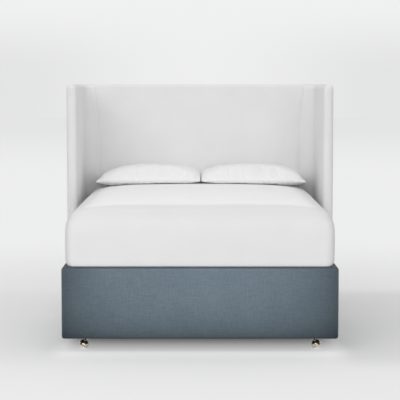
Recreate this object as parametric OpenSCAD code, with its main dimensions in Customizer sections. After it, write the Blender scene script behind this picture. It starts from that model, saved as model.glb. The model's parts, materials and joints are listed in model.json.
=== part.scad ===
/* [Base] */
// Width of the upholstered base
base_w = 1580; // [1300:10:1900]
// Length of both base halves together
base_len = 2088; // [2000:4:2300]
// Height of the base from its underside to its top
base_h = 412; // [300:2:480]
// Rounding of the padded edges of the base
edge_r = 20; // [14:1:24]
// Thickness of the upholstery cloth
cloth_t = 2; // [1.5:0.1:3]
// Thickness of the foam wrap round the base
base_pad_t = 10; // [6:1:14]
// Thickness of the hardboard on the sides of the base
side_board_t = 5; // [3:1:8]
// Thickness of the deck board
deck_t = 12; // [9:1:18]
// Thickness of the frame rails
rail_t = 22; // [18:1:30]
// Height of the frame rails
rail_h = 70; // [50:1:90]
// Thickness of the cross rails between the side rails
cross_t = 30; // [20:1:40]
// Side of the square posts between the two frames
post_w = 45; // [35:1:60]
// Gap between the two base halves
half_gap = 2; // [1:0.5:6]
// Width of the cloth turned under the base
turn_under = 75; // [70:1:85]
// Thickness of the dust cover
dust_t = 1.5; // [1:0.1:3]
// Distance of the dust cover from the edge of its base half
dust_inset = 60; // [55:1:65]

/* [Castors] */
// Diameter of a castor ball
ball_d = 50; // [40:1:56]
// Height of the base above the floor
castor_h = 75; // [66:1:90]
// Distance of a ball centre from the side of the base
castor_side_inset = 120; // [115:1:160]
// Distance of a castor stem from the end of its base half
castor_end_inset = 125; // [115:1:140]
// Distance of the ball centre from the swivel axis
castor_trail = 14; // [10:1:18]
// Thickness of the castor hood
hood_t = 2; // [1.5:0.1:3]
// Gap between a ball and its hood
hood_gap = 1; // [0.5:0.1:2]
// Diameter of the castor stem
stem_d = 10; // [8:0.5:12]
// Length of the stem inside its socket
stem_len = 34; // [25:1:38]
// Diameter of the axle pin
axle_d = 6; // [4:0.5:8]
// Wall of the stem socket
socket_wall = 2; // [1.5:0.1:3]
// Thickness of the timber block that holds a castor
block_h = 45; // [40:1:60]

/* [Headboard] */
// Height of the headboard above the floor
headboard_h = 1520; // [1300:10:1700]
// Thickness of the back panel
panel_t = 70; // [64:1:90]
// Thickness of a wing
wing_t = 64; // [60:1:80]
// Depth of a wing in front of the back panel
wing_depth = 870; // [700:10:1000]
// Gap between a wing and the side of the base
wing_gap = 6; // [3:0.5:12]
// Gap between the base and the back panel
panel_gap = 2; // [1:0.5:6]
// Radius of the hollow corner between wing and back panel
cove_r = 82; // [60:1:84]
// Thickness of the hollow corner's edge where it meets the back panel
cove_lip = 6; // [4:1:10]
// Rounding of the back panel's edges
panel_edge_r = 20; // [12:1:28]
// Thickness of the foam on the front of the back panel
panel_pad_t = 16; // [10:1:22]
// Thickness of the board behind that foam
panel_board_t = 6; // [4:1:9]
// Thickness of the foam on each side of a wing frame
wing_pad_t = 10; // [6:1:12]
// Width of the headboard timbers
stud_w = 45; // [35:1:60]
// Thickness of the lining on the rear of the back panel
lining_t = 2; // [1.5:0.1:3]

/* [Bedding] */
// Thickness of the mattress
mattress_t = 265; // [200:5:340]
// Distance of the duvet from the edges of the base, all the way round
duvet_setback = 20; // [15:1:30]
// Thickness of the duvet on the sides of the mattress
duvet_side_t = 8; // [6:1:10]
// Loft of the duvet over the middle of the mattress
duvet_loft = 100; // [85:1:120]
// Fall of the duvet from its middle to its shoulders
duvet_fall = 26; // [10:1:30]
// Width of the duvet tucked under the mattress
tuck_w = 80; // [40:5:150]
// Thickness of the duvet tucked under the mattress
tuck_t = 4; // [3:0.5:6]
// Distance of the pillows' outer tips from the edge of the hollow corners
pillow_end_gap = 4; // [2:1:120]
// Depth of a pillow from tip to tip
pillow_depth = 480; // [400:5:520]
// Height of a pillow's crown over the duvet
pillow_h = 118; // [80:2:160]
// Gap between the tips of the two pillows
pillow_gap = 4; // [2:1:20]
// Distance of both pillows to the right of the middle
pillow_shift = 6; // [-10:1:10]

/* [Hidden] */

// Smoothness of round pieces
$fn = 48;
// Straight steps in each quarter turn of a padded form
corner_steps = 5;
edge_steps = 4;
// How far a cut runs past the solid it cuts
over = 1;
// Gap between two layers that lie on each other, and between timbers in one frame
lay_gap = 0.3;
// Clearance of the duvet over the base and of the pillows over the duvet
rest_gap = 0.3;
pillow_rest_gap = 0.8;

// Places along the bed, with the foot at the low end
total_len = base_len + panel_gap + panel_t;
base_front = -total_len / 2;
base_rear = base_front + base_len;
base_mid = (base_front + base_rear) / 2;
panel_front = base_rear + panel_gap;
panel_rear = panel_front + panel_t;
wing_front = panel_front - wing_depth;
wing_axis_y = wing_front + wing_t / 2;

// Places across the bed
base_side = base_w / 2;
wing_in = base_side + wing_gap;
wing_out = wing_in + wing_t;
wing_mid = (wing_in + wing_out) / 2;

// Heights above the floor
cloth_z = castor_h + dust_t;
frame_z = cloth_z + cloth_t;
base_top = castor_h + base_h;
deck_top = base_top - cloth_t - base_pad_t;
deck_z = deck_top - deck_t;
upper_z = deck_z - rail_h;

// Insets of the layers from the outside of a base half
board_inset = cloth_t + base_pad_t;
frame_inset = board_inset + side_board_t;

// Height over the turned-under cloth at which a square corner clears its rounded low edge
function low_rise(inset) =
    let (r = edge_r - cloth_t,
        reach = min(r, sqrt(2) * max(0, edge_r - inset)),
        facet = r * (1 - cos(45 / edge_steps)))
    r - sqrt(r * r - reach * reach) + facet + lay_gap;
timber_z = frame_z + low_rise(frame_inset);
board_z = frame_z + low_rise(board_inset);
lower_top = timber_z + rail_h;

// Inner layers of the base
cross_count = 4;
rail_inner_x = base_side - frame_inset - rail_t;

// Castors
ball_r = ball_d / 2;
hood_in_r = ball_r + hood_gap;
hood_out_r = hood_in_r + hood_t;
hood_tilt = 30;
running_gap = 0.05;
axle_r = axle_d / 2;
axle_head_t = 1;
axle_head_r = axle_r * 1.5;
hood_skirt = axle_r + 4;
stem_r = stem_d / 2;
neck_r = stem_r + 3;
collar_r = stem_r + 6;
collar_h = 5;
socket_r = stem_r + running_gap + socket_wall;
socket_flange_r = socket_r + 7;
socket_flange_t = 1.5;
socket_len = stem_len + 2;
block_margin = 45;
stem_x = base_side - castor_side_inset - castor_trail;
collar_top = frame_z - socket_flange_t - lay_gap;
dust_hole_r = socket_flange_r + 2;

// Steel plates and screws under the base
plate_t = 3;
plate_x = base_w / 4;
plate_w = 120;
plate_len = 90;
plate_screw_x = 40;
plate_screw_y = half_gap / 2 + frame_inset + rail_t / 2;
strap_w = 40;
strap_margin = 12;
strap_in = base_side - frame_inset - rail_t / 2 - strap_margin;
strap_out = wing_mid + strap_margin;
strap_places = [wing_axis_y + wing_depth / 4, panel_front - wing_depth / 4];
screw_r = 2.5;
screw_head_r = 5;
screw_head_t = 2;
screw_len = 30;
screw_gap = 0.2;

// Headboard
panel_frame_y = panel_front + cloth_t + panel_pad_t + panel_board_t;
panel_frame_d = panel_rear - lining_t - panel_frame_y;
panel_pad_side = panel_edge_r - cloth_t;
panel_frame_x = wing_out - cloth_t - panel_pad_side;
panel_frame_top = headboard_h - cloth_t - panel_pad_side;
panel_frame_z = frame_z + cloth_t + lay_gap;
panel_studs = 9;
stud_pitch = (2 * panel_frame_x - stud_w) / (panel_studs - 1);
lining_margin = 40;
wing_frame_t = wing_t - 2 * cloth_t - 2 * wing_pad_t;
wing_frame_nose = wing_frame_t * 0.3;
wing_studs = 5;
wing_top_z = headboard_h - wing_t / 2;
cove_x = wing_in - cove_r;
cove_y = panel_front - cove_lip - cove_r;
cove_z = base_top + wing_gap;
cove_top = headboard_h - wing_t / 4;

// Bolts of the headboard
bolt_r = 4;
bolt_len = 95;
bolt_head_r = 7;
bolt_head_t = 5;
bolt_gap = 0.5;
bolt_recess = 8;
base_bolt_stud = 2;
base_bolt_y = base_rear - frame_inset - rail_t;
base_bolt_z = [timber_z + rail_h / 2, upper_z + rail_h / 2];
wing_bolt_x = wing_mid;
wing_bolt_y = panel_rear - lining_t - bolt_recess;
wing_bolt_z_shares = [0.2, 0.5, 0.8];

// Mattress and duvet
duvet_front = base_front + duvet_setback;
duvet_rear = base_rear - duvet_setback;
duvet_side = base_side - duvet_setback;
mattress_front = duvet_front + duvet_side_t;
mattress_rear = duvet_rear - duvet_side_t;
mattress_side = duvet_side - duvet_side_t;
duvet_z = base_top + rest_gap;
mattress_z = duvet_z + tuck_t;
mattress_top = mattress_z + mattress_t;
ticking_t = 4;
comfort_t = 50;
mattress_corner_r = 60;
mattress_edge_r = 45;
// Less than the mattress's corner, so that the drawn ends stay thick over it
duvet_corner_r = mattress_corner_r - duvet_side_t / 2;
duvet_hem_r = 5;
duvet_shoulder_z = mattress_top - 2.1 * mattress_edge_r;
duvet_top = mattress_top + duvet_loft;

// Rings of the duvet from its shoulder to its middle, as shares of its half width, of its
// end rounding and of its rise
duvet_across_shares = [1, 0.997, 0.987, 0.97, 0.948, 0.92, 0.87, 0.8, 0.7, 0.58, 0.44, 0.28, 0.1];
duvet_end_shares = [0, 0.03, 0.1, 0.2, 0.33, 0.5, 0.75, 1.05, 1.4, 2, 3, 4.5, 6.5];
duvet_end_r = 95;
duvet_rise_power = 10;
duvet_round_power = 2.5;

// Pillows
pillow_cols = 16;
pillow_rows = 10;
pillow_u_powers = [2.4, 0.62];
pillow_v_powers = [2.2, 0.58];
pillow_draw_end_share = 0.03;
pillow_draw_front_share = 0.075;
pillow_seam_rise = 46;
pillow_tip_rise = 12;
pillow_sink_share = 1.6;
pillow_back_gap = 10;
pillow_case_t = 2.5;
pillow_knife = 26;
pillow_y = panel_front - pillow_back_gap - pillow_depth / 2;
pillow_w = cove_x - pillow_end_gap - pillow_gap / 2;
pillow_offset = (pillow_w + pillow_gap) / 2;

blue = "#5f7585";
white_cloth = "#e6e5e2";
white_linen = "#f1f0ee";
foam = "#f0e4b8";
timber = "#c9a36e";
hardboard = "#8f6a45";
brass = "#d8bd8a";
steel = "#a9adb1";
dust_black = "#2c2d30";

// Closed solid through a list of rings that hold the same number of points, lowest first
module ring_loft(rings) {
    n = len(rings[0]);
    last = (len(rings) - 1) * n;
    points = [for (ring = rings) for (p = ring) p];
    sides = [for (k = [0 : len(rings) - 2]) for (i = [0 : n - 1])
        let (a = k * n + i, b = k * n + (i + 1) % n)
        each [[a, b + n, b], [a, a + n, b + n]]];
    low_cap = [for (i = [1 : n - 2]) [0, i, i + 1]];
    high_cap = [for (i = [1 : n - 2]) [last, last + i + 1, last + i]];
    polyhedron(points, concat(low_cap, sides, high_cap));
}

// Points of a level rectangle with round corners, anticlockwise from above
function round_ring(x0, x1, y0, y1, r, z) = [
    for (c = [[x1 - r, y0 + r, -90], [x1 - r, y1 - r, 0], [x0 + r, y1 - r, 90], [x0 + r, y0 + r, 180]])
    for (k = [0 : corner_steps])
    let (a = c[2] + 90 * k / corner_steps)
    [c[0] + r * cos(a), c[1] + r * sin(a), z]
];

// Padded box with upright corners of radius r and level edges of radius low_r and high_r
module padded_box(x0, x1, y0, y1, z0, z1, r, low_r, high_r) {
    low = [for (k = [0 : edge_steps]) let (a = 90 * k / edge_steps, d = low_r * (1 - sin(a)))
        round_ring(x0 + d, x1 - d, y0 + d, y1 - d, r - d, z0 + low_r * (1 - cos(a)))];
    high = [for (k = [0 : edge_steps]) let (a = 90 * k / edge_steps, d = high_r * (1 - cos(a)))
        round_ring(x0 + d, x1 - d, y0 + d, y1 - d, r - d, z1 - high_r * (1 - sin(a)))];
    ring_loft(concat(low, high));
}

module box(x0, x1, y0, y1, z0, z1) {
    translate([x0, y0, z0]) cube([x1 - x0, y1 - y0, z1 - z0]);
}

module rod_y(x, y0, y1, z, r) {
    translate([x, y0, z]) rotate([-90, 0, 0]) cylinder(h = y1 - y0, r = r);
}

// Cuts for the screws under the base and for the bolts of the headboard
function plate_screws() = [
    for (x = [-plate_x, plate_x]) for (dx = [-plate_screw_x, plate_screw_x])
    for (dy = [-plate_screw_y, plate_screw_y]) [x + dx, base_mid + dy]
];
function strap_screws() = [
    for (side = [-1, 1]) for (y = strap_places)
    for (x = [strap_in + strap_margin, strap_out - strap_margin]) [side * x, y]
];

module screw_cuts() {
    for (p = concat(plate_screws(), strap_screws()))
        translate([p[0], p[1], cloth_z - plate_t - over])
        cylinder(h = screw_len + over + screw_gap, r = screw_r + screw_gap, $fn = 24);
}

module bolt_cuts() {
    cut_r = bolt_r + bolt_gap;
    for (x = base_bolt_places(), z = base_bolt_z)
        rod_y(x, base_bolt_y - over, base_bolt_y + bolt_len + over, z, cut_r);
    for (x = [-wing_bolt_x, wing_bolt_x], z = wing_bolt_places()) {
        rod_y(x, wing_bolt_y - bolt_len - over, wing_bolt_y + over, z, cut_r);
        rod_y(x, wing_bolt_y, panel_rear - lining_t + over, z, bolt_head_r + bolt_gap);
    }
}

function base_bolt_places() =
    let (x = panel_frame_x - stud_w / 2 - base_bolt_stud * stud_pitch) [-x, x];
function wing_bolt_places() = [for (s = wing_bolt_z_shares) cloth_z + s * (headboard_h - cloth_z)];

// One base half lies between y0 and y1
module half_form(y0, y1, inset, z0) {
    r = edge_r - inset;
    padded_box(-base_side + inset, base_side - inset, y0 + inset, y1 - inset,
        z0, base_top - inset, r, r, r);
}

module frame_timbers(y0, y1, z0) {
    out_x = base_side - frame_inset;
    a = y0 + frame_inset;
    b = y1 - frame_inset;
    in_x = out_x - rail_t;
    for (s = [-1, 1])
        translate([s * (out_x - rail_t / 2), (a + b) / 2, z0 + rail_h / 2])
        cube([rail_t, b - a, rail_h], center = true);
    end_x = in_x - lay_gap;
    box(-end_x, end_x, a, a + rail_t, z0, z0 + rail_h);
    box(-end_x, end_x, b - rail_t, b, z0, z0 + rail_h);
    pitch = (b - a - 2 * rail_t + cross_t) / (cross_count + 1);
    for (k = [1 : cross_count]) {
        y = a + rail_t + k * pitch - cross_t;
        box(-end_x, end_x, y, y + cross_t, z0, z0 + rail_h);
    }
}

module lower_frame(y0, y1) {
    color(timber) difference() {
        frame_timbers(y0, y1, timber_z);
        screw_cuts();
        bolt_cuts();
    }
}

module upper_frame(y0, y1) {
    color(timber) difference() {
        frame_timbers(y0, y1, upper_z);
        bolt_cuts();
    }
}

// Posts stand on the rails in the corners and in the middle of each side and end
module posts(y0, y1) {
    px = base_side - frame_inset - post_w / 2;
    a = y0 + frame_inset + post_w / 2;
    b = y1 - frame_inset - post_w / 2;
    places = [for (x = [-px, px]) for (y = [a, (a + b) / 2, b]) [x, y]];
    ends = [[0, a], [0, b]];
    color(timber) for (p = concat(places, ends))
        translate([p[0], p[1], (lower_top + upper_z) / 2])
        cube([post_w, post_w, upper_z - lower_top], center = true);
}

module side_boards(y0, y1) {
    x = base_side - board_inset;
    a = y0 + board_inset;
    b = y1 - board_inset;
    t = side_board_t;
    color(hardboard) difference() {
        union() {
            box(-x, -x + t, a, b, board_z, deck_z);
            box(x - t, x, a, b, board_z, deck_z);
            box(-x + t + lay_gap, x - t - lay_gap, a, a + t, board_z, deck_z);
            box(-x + t + lay_gap, x - t - lay_gap, b - t, b, board_z, deck_z);
        }
        bolt_cuts();
    }
}

module deck_board(y0, y1) {
    x = base_side - board_inset;
    color(hardboard) box(-x, x, y0 + board_inset, y1 - board_inset, deck_z, deck_top);
}

module padding(y0, y1) {
    x = base_side - board_inset;
    color(foam) difference() {
        half_form(y0, y1, cloth_t + lay_gap, frame_z);
        box(-x, x, y0 + board_inset, y1 - board_inset, frame_z - over, deck_top);
        bolt_cuts();
    }
}

module upholstery(y0, y1) {
    x = base_side - turn_under;
    color(blue) difference() {
        half_form(y0, y1, 0, cloth_z);
        half_form(y0, y1, cloth_t, frame_z);
        box(-x, x, y0 + turn_under, y1 - turn_under, cloth_z - over, frame_z + over);
        screw_cuts();
        bolt_cuts();
    }
}

module dust_cover(y0, y1) {
    x = base_side - dust_inset;
    color(dust_black) difference() {
        box(-x, x, y0 + dust_inset, y1 - dust_inset, castor_h, cloth_z);
        castor_holes(dust_hole_r);
    }
}

// The ends of the two halves
foot_y = [base_front, base_mid - half_gap / 2];
head_y = [base_mid + half_gap / 2, base_rear];
stem_places = [foot_y[0] + castor_end_inset, foot_y[1] - castor_end_inset,
    head_y[0] + castor_end_inset, head_y[1] - castor_end_inset];

module foot_lower_frame() { lower_frame(foot_y[0], foot_y[1]); }
module foot_upper_frame() { upper_frame(foot_y[0], foot_y[1]); }
module foot_posts() { posts(foot_y[0], foot_y[1]); }
module foot_side_boards() { side_boards(foot_y[0], foot_y[1]); }
module foot_deck_board() { deck_board(foot_y[0], foot_y[1]); }
module foot_padding() { padding(foot_y[0], foot_y[1]); }
module foot_upholstery() { upholstery(foot_y[0], foot_y[1]); }
module foot_dust_cover() { dust_cover(foot_y[0], foot_y[1]); }
module head_lower_frame() { lower_frame(head_y[0], head_y[1]); }
module head_upper_frame() { upper_frame(head_y[0], head_y[1]); }
module head_posts() { posts(head_y[0], head_y[1]); }
module head_side_boards() { side_boards(head_y[0], head_y[1]); }
module head_deck_board() { deck_board(head_y[0], head_y[1]); }
module head_padding() { padding(head_y[0], head_y[1]); }
module head_upholstery() { upholstery(head_y[0], head_y[1]); }
module head_dust_cover() { dust_cover(head_y[0], head_y[1]); }

module castor_holes(r) {
    for (x = [-stem_x, stem_x], y = stem_places)
        translate([x, y, castor_h - over]) cylinder(h = block_h + frame_z, r = r);
}

// A block sits in the corner of the lower frame beside each castor stem
module castor_blocks() {
    in_x = stem_x - block_margin;
    color(timber) difference() {
        for (s = [-1, 1], k = [0 : len(stem_places) - 1]) {
            outward = k % 2 == 0 ? -1 : 1;
            y = stem_places[k];
            far = y + outward * (castor_end_inset - frame_inset - rail_t);
            near = y - outward * block_margin;
            translate([s * (rail_inner_x + in_x) / 2, (far + near) / 2, frame_z + block_h / 2])
                cube([rail_inner_x - in_x, abs(far - near), block_h], center = true);
        }
        castor_holes(socket_r);
    }
}

module castor_sockets() {
    color(steel) for (x = [-stem_x, stem_x], y = stem_places)
        translate([x, y, frame_z]) difference() {
            union() {
                cylinder(h = socket_len, r = socket_r);
                translate([0, 0, -socket_flange_t]) cylinder(h = socket_flange_t, r = socket_flange_r);
            }
            translate([0, 0, -socket_flange_t - over])
                cylinder(h = socket_len + socket_flange_t + 2 * over, r = stem_r + running_gap);
        }
}

module link_plates() {
    color(steel) difference() {
        for (x = [-plate_x, plate_x])
            translate([x, base_mid, cloth_z - plate_t / 2])
            cube([plate_w, plate_len, plate_t], center = true);
        screw_cuts();
    }
}

module wing_straps() {
    color(steel) difference() {
        for (s = [-1, 1], y = strap_places)
            translate([s * (strap_in + strap_out) / 2, y, cloth_z - plate_t / 2])
            cube([strap_out - strap_in, strap_w, plate_t], center = true);
        screw_cuts();
    }
}

module underside_screws() {
    color(steel) for (p = concat(plate_screws(), strap_screws()))
        translate([p[0], p[1], cloth_z - plate_t]) {
            cylinder(h = screw_len, r = screw_r, $fn = 24);
            translate([0, 0, -screw_head_t]) cylinder(h = screw_head_t, r = screw_head_r, $fn = 24);
        }
}

// The castor of one stem, with its ball on the outer side of the bed
module castor_place(side, row) {
    translate([side * stem_x, stem_places[row - 1], 0])
        scale([side, 1, 1]) translate([castor_trail, 0, ball_r]) children();
}

module hood(side, row) {
    pin_y = hood_out_r + lay_gap;
    color(brass) castor_place(side, row) {
        difference() {
            union() {
                difference() {
                    sphere(r = hood_out_r);
                    rotate([0, -hood_tilt, 0]) hood_cut();
                }
                translate([-castor_trail, 0, 0]) cylinder(h = collar_top - ball_r - over, r = neck_r);
                translate([-castor_trail, 0, collar_top - ball_r - collar_h])
                    cylinder(h = collar_h, r = collar_r);
                translate([-castor_trail, 0, collar_top - ball_r - over])
                    cylinder(h = stem_len + over, r = stem_r);
            }
            sphere(r = hood_in_r);
            rod_y(0, -hood_out_r - over, hood_out_r + over, 0, axle_r + running_gap);
        }
        rod_y(0, -pin_y, pin_y, 0, axle_r);
        rod_y(0, pin_y, pin_y + axle_head_t, 0, axle_head_r);
        rod_y(0, -pin_y - axle_head_t, -pin_y, 0, axle_head_r);
    }
}

// The part of the sphere that the hood leaves open, before it is tilted
module hood_cut() {
    translate([0, 0, -hood_skirt - hood_out_r]) cube(2 * hood_out_r, center = true);
}

module ball(side, row) {
    color(brass) castor_place(side, row) difference() {
        sphere(r = ball_r);
        rod_y(0, -ball_r - over, ball_r + over, 0, axle_r + running_gap);
    }
}

module castor_1_left_hood() { hood(-1, 1); }
module castor_1_left_ball() { ball(-1, 1); }
module castor_1_right_hood() { hood(1, 1); }
module castor_1_right_ball() { ball(1, 1); }
module castor_2_left_hood() { hood(-1, 2); }
module castor_2_left_ball() { ball(-1, 2); }
module castor_2_right_hood() { hood(1, 2); }
module castor_2_right_ball() { ball(1, 2); }
module castor_3_left_hood() { hood(-1, 3); }
module castor_3_left_ball() { ball(-1, 3); }
module castor_3_right_hood() { hood(1, 3); }
module castor_3_right_ball() { ball(1, 3); }
module castor_4_left_hood() { hood(-1, 4); }
module castor_4_left_ball() { ball(-1, 4); }
module castor_4_right_hood() { hood(1, 4); }
module castor_4_right_ball() { ball(1, 4); }

// Back panel of the headboard
module panel_form(inset, z0) {
    r = panel_edge_r - inset;
    padded_box(-wing_out + inset, wing_out - inset, panel_front + inset, panel_rear - inset,
        z0, headboard_h - inset, r, min(r, cloth_t), r);
}

module back_frame() {
    y1 = panel_frame_y + panel_frame_d;
    z0 = panel_frame_z + stud_w + lay_gap;
    z1 = panel_frame_top - stud_w - lay_gap;
    color(timber) difference() {
        union() {
            box(-panel_frame_x, panel_frame_x, panel_frame_y, y1,
                panel_frame_z, panel_frame_z + stud_w);
            box(-panel_frame_x, panel_frame_x, panel_frame_y, y1,
                panel_frame_top - stud_w, panel_frame_top);
            for (k = [0 : panel_studs - 1]) {
                x = -panel_frame_x + k * stud_pitch;
                box(x, x + stud_w, panel_frame_y, y1, z0, z1);
            }
        }
        bolt_cuts();
    }
}

module back_board() {
    color(hardboard) difference() {
        box(-panel_frame_x, panel_frame_x, panel_frame_y - panel_board_t, panel_frame_y,
            frame_z, panel_frame_top);
        bolt_cuts();
    }
}

module back_padding() {
    color(foam) difference() {
        panel_form(cloth_t + lay_gap, frame_z);
        box(-panel_frame_x, panel_frame_x, panel_frame_y - panel_board_t, panel_rear + over,
            frame_z - over, panel_frame_top);
        bolt_cuts();
    }
}

module back_cover() {
    x = wing_out - lining_margin;
    color(white_cloth) difference() {
        panel_form(0, cloth_z);
        panel_form(cloth_t, frame_z);
        box(-x, x, panel_rear - 2 * cloth_t, panel_rear + over,
            cloth_z + lining_margin, headboard_h - lining_margin);
        bolt_cuts();
    }
}

module back_lining() {
    x = wing_out - lining_margin - lay_gap;
    color(white_cloth) box(-x, x, panel_rear - lining_t, panel_rear,
        cloth_z + lining_margin + lay_gap, headboard_h - lining_margin - lay_gap);
}

// Wing with a round front and top edge, and the hollow corner that meets the back panel
module wing_form(inset, z0, rear) {
    r = wing_t / 2 - inset;
    box(wing_in + inset, wing_out - inset, wing_axis_y, rear, z0, wing_top_z);
    translate([wing_mid, wing_axis_y, z0]) cylinder(h = wing_top_z - z0, r = r);
    rod_y(wing_mid, wing_axis_y, rear, wing_top_z, r);
    translate([wing_mid, wing_axis_y, wing_top_z]) sphere(r = r);
    difference() {
        box(cove_x + inset, wing_mid, cove_y, rear, cove_z + inset, cove_top - inset);
        translate([cove_x, cove_y, cove_z - over])
            cylinder(h = cove_top - cove_z + 2 * over, r = cove_r + inset);
    }
}

module at_side(side) {
    if (side > 0) children();
    else mirror([1, 0, 0]) children();
}

module wing_frame_box(grow, rear) {
    box(wing_mid - wing_frame_t / 2 - grow, wing_mid + wing_frame_t / 2 + grow,
        wing_axis_y - wing_frame_nose - grow, rear, frame_z - over, wing_top_z + wing_frame_nose + grow);
}

module wing_frame(side) {
    x0 = wing_mid - wing_frame_t / 2;
    x1 = wing_mid + wing_frame_t / 2;
    y0 = wing_axis_y - wing_frame_nose;
    top = wing_top_z + wing_frame_nose;
    pitch = (panel_front - y0 - stud_w) / (wing_studs - 1);
    color(timber) difference() {
        at_side(side) {
            box(x0, x1, y0, panel_front, frame_z, frame_z + stud_w);
            box(x0, x1, y0, panel_front, top - stud_w, top);
            for (k = [0 : wing_studs - 1])
                box(x0, x1, y0 + k * pitch, y0 + k * pitch + stud_w,
                    frame_z + stud_w + lay_gap, top - stud_w - lay_gap);
        }
        screw_cuts();
        bolt_cuts();
    }
}

module wing_padding(side) {
    color(foam) difference() {
        at_side(side) difference() {
            wing_form(cloth_t + lay_gap, frame_z, panel_front);
            wing_frame_box(0, panel_front + over);
        }
        bolt_cuts();
    }
}

module wing_cover(side) {
    color(white_cloth) difference() {
        at_side(side) difference() {
            wing_form(0, cloth_z, panel_front);
            wing_form(cloth_t, frame_z, panel_front + over);
        }
        screw_cuts();
    }
}

module left_wing_frame() { wing_frame(-1); }
module left_wing_padding() { wing_padding(-1); }
module left_wing_cover() { wing_cover(-1); }
module right_wing_frame() { wing_frame(1); }
module right_wing_padding() { wing_padding(1); }
module right_wing_cover() { wing_cover(1); }

// Four bolts hold the back panel to the base and three hold each wing to the back panel
module headboard_bolts() {
    color(steel) {
        for (x = base_bolt_places(), z = base_bolt_z) {
            rod_y(x, base_bolt_y, base_bolt_y + bolt_len, z, bolt_r);
            rod_y(x, base_bolt_y - bolt_head_t, base_bolt_y, z, bolt_head_r);
        }
        for (x = [-wing_bolt_x, wing_bolt_x], z = wing_bolt_places()) {
            rod_y(x, wing_bolt_y - bolt_len, wing_bolt_y, z, bolt_r);
            rod_y(x, wing_bolt_y, wing_bolt_y + bolt_head_t, z, bolt_head_r);
        }
    }
}

// Mattress
module mattress_form(inset, z0, z1) {
    padded_box(-mattress_side + inset, mattress_side - inset,
        mattress_front + inset, mattress_rear - inset, z0, z1,
        mattress_corner_r - inset, mattress_edge_r - inset, mattress_edge_r - inset);
}

module mattress_ticking() {
    t = ticking_t;
    color(white_linen) difference() {
        mattress_form(0, mattress_z, mattress_top);
        mattress_form(t, mattress_z + t, mattress_top - t);
    }
}

module mattress_filling(z0, z1) {
    t = ticking_t + lay_gap;
    intersection() {
        mattress_form(t, mattress_z + t, mattress_top - t);
        box(-mattress_side, mattress_side, mattress_front, mattress_rear, z0, z1);
    }
}

module mattress_core() {
    color(foam) mattress_filling(mattress_z, mattress_top - ticking_t - comfort_t - lay_gap);
}

module mattress_comfort_layer() {
    color(white_linen) mattress_filling(mattress_top - ticking_t - comfort_t, mattress_top);
}

// Height of the duvet at a share s of its half width
function duvet_rise(s) =
    duvet_shoulder_z + (duvet_top - duvet_shoulder_z) * pow(1 - pow(s, duvet_rise_power), 1 / duvet_round_power)
    - duvet_fall * s * s * (1 - pow(s, duvet_rise_power));

duvet_profile = [for (s = duvet_across_shares) [s * duvet_side, duvet_rise(s)]];
duvet_heights = [for (k = [len(duvet_profile) - 1 : -1 : 0]) duvet_profile[k]];

function duvet_height(x) = lookup(abs(x), duvet_heights);

function duvet_ring(x, end, r, z) =
    round_ring(-x, x, duvet_front + end, duvet_rear - end, r, z);

module duvet() {
    hem = [for (k = [0 : 2]) let (a = 45 * k, d = duvet_hem_r * (1 - sin(a)))
        duvet_ring(duvet_side - d, d, duvet_corner_r - d, duvet_z + duvet_hem_r * (1 - cos(a)))];
    rise = [for (k = [0 : len(duvet_profile) - 1])
        let (x = duvet_profile[k][0], end = duvet_end_r * duvet_end_shares[k])
        duvet_ring(x, end, min(x, duvet_corner_r + end / 2), duvet_profile[k][1])];
    hole_x = mattress_side - tuck_w;
    color(white_linen) difference() {
        ring_loft(concat(hem, rise));
        mattress_form(-lay_gap, mattress_z - lay_gap, mattress_top + lay_gap);
        box(-hole_x, hole_x, mattress_front + tuck_w, mattress_rear - tuck_w,
            duvet_z - over, mattress_z + over);
    }
}

// Pillow as two crowned faces that meet at a seam, with its sides drawn in between its tips
function pillow_x(u, v, a) = a * u * (1 - pillow_draw_end_share * (1 - v * v));
function pillow_depth_at(u, v, b) = b * v * (1 - pillow_draw_front_share * (1 - u * u));
function pillow_crown(u, v) =
    pow(1 - pow(abs(u), pillow_u_powers[0]), pillow_u_powers[1])
    * pow(1 - pow(abs(v), pillow_v_powers[0]), pillow_v_powers[1]);
function pillow_seam(u, v) =
    pillow_tip_rise + (pillow_seam_rise - pillow_tip_rise) * (1 - pow(u * v, 2));

// One face of a pillow whose middle is at cx, as rows of points
function pillow_face(cx, inset, up) =
    let (knife = inset > 0 ? pillow_knife : 0,
        a = pillow_w / 2 - knife,
        b = pillow_depth / 2 - knife,
        a_share = 2 * a / pillow_w,
        b_share = 2 * b / pillow_depth,
        seat = duvet_top + pillow_rest_gap)
    [for (j = [0 : pillow_rows]) for (i = [0 : pillow_cols])
        let (u = sin(90 * (2 * i / pillow_cols - 1)), v = sin(90 * (2 * j / pillow_rows - 1)),
            x = cx + pillow_x(u, v, a),
            seam = seat + pillow_seam(u * a_share, v * b_share),
            high = seam + (pillow_h - pillow_seam_rise - inset) * pillow_crown(u, v),
            low = seam - pillow_seam_rise * pillow_sink_share * pillow_crown(u, v),
            rest = duvet_height(x) + pillow_rest_gap + inset)
        [x, pillow_y + pillow_depth_at(u, v, b), up ? high : min(seam, max(low, rest))]];

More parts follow.
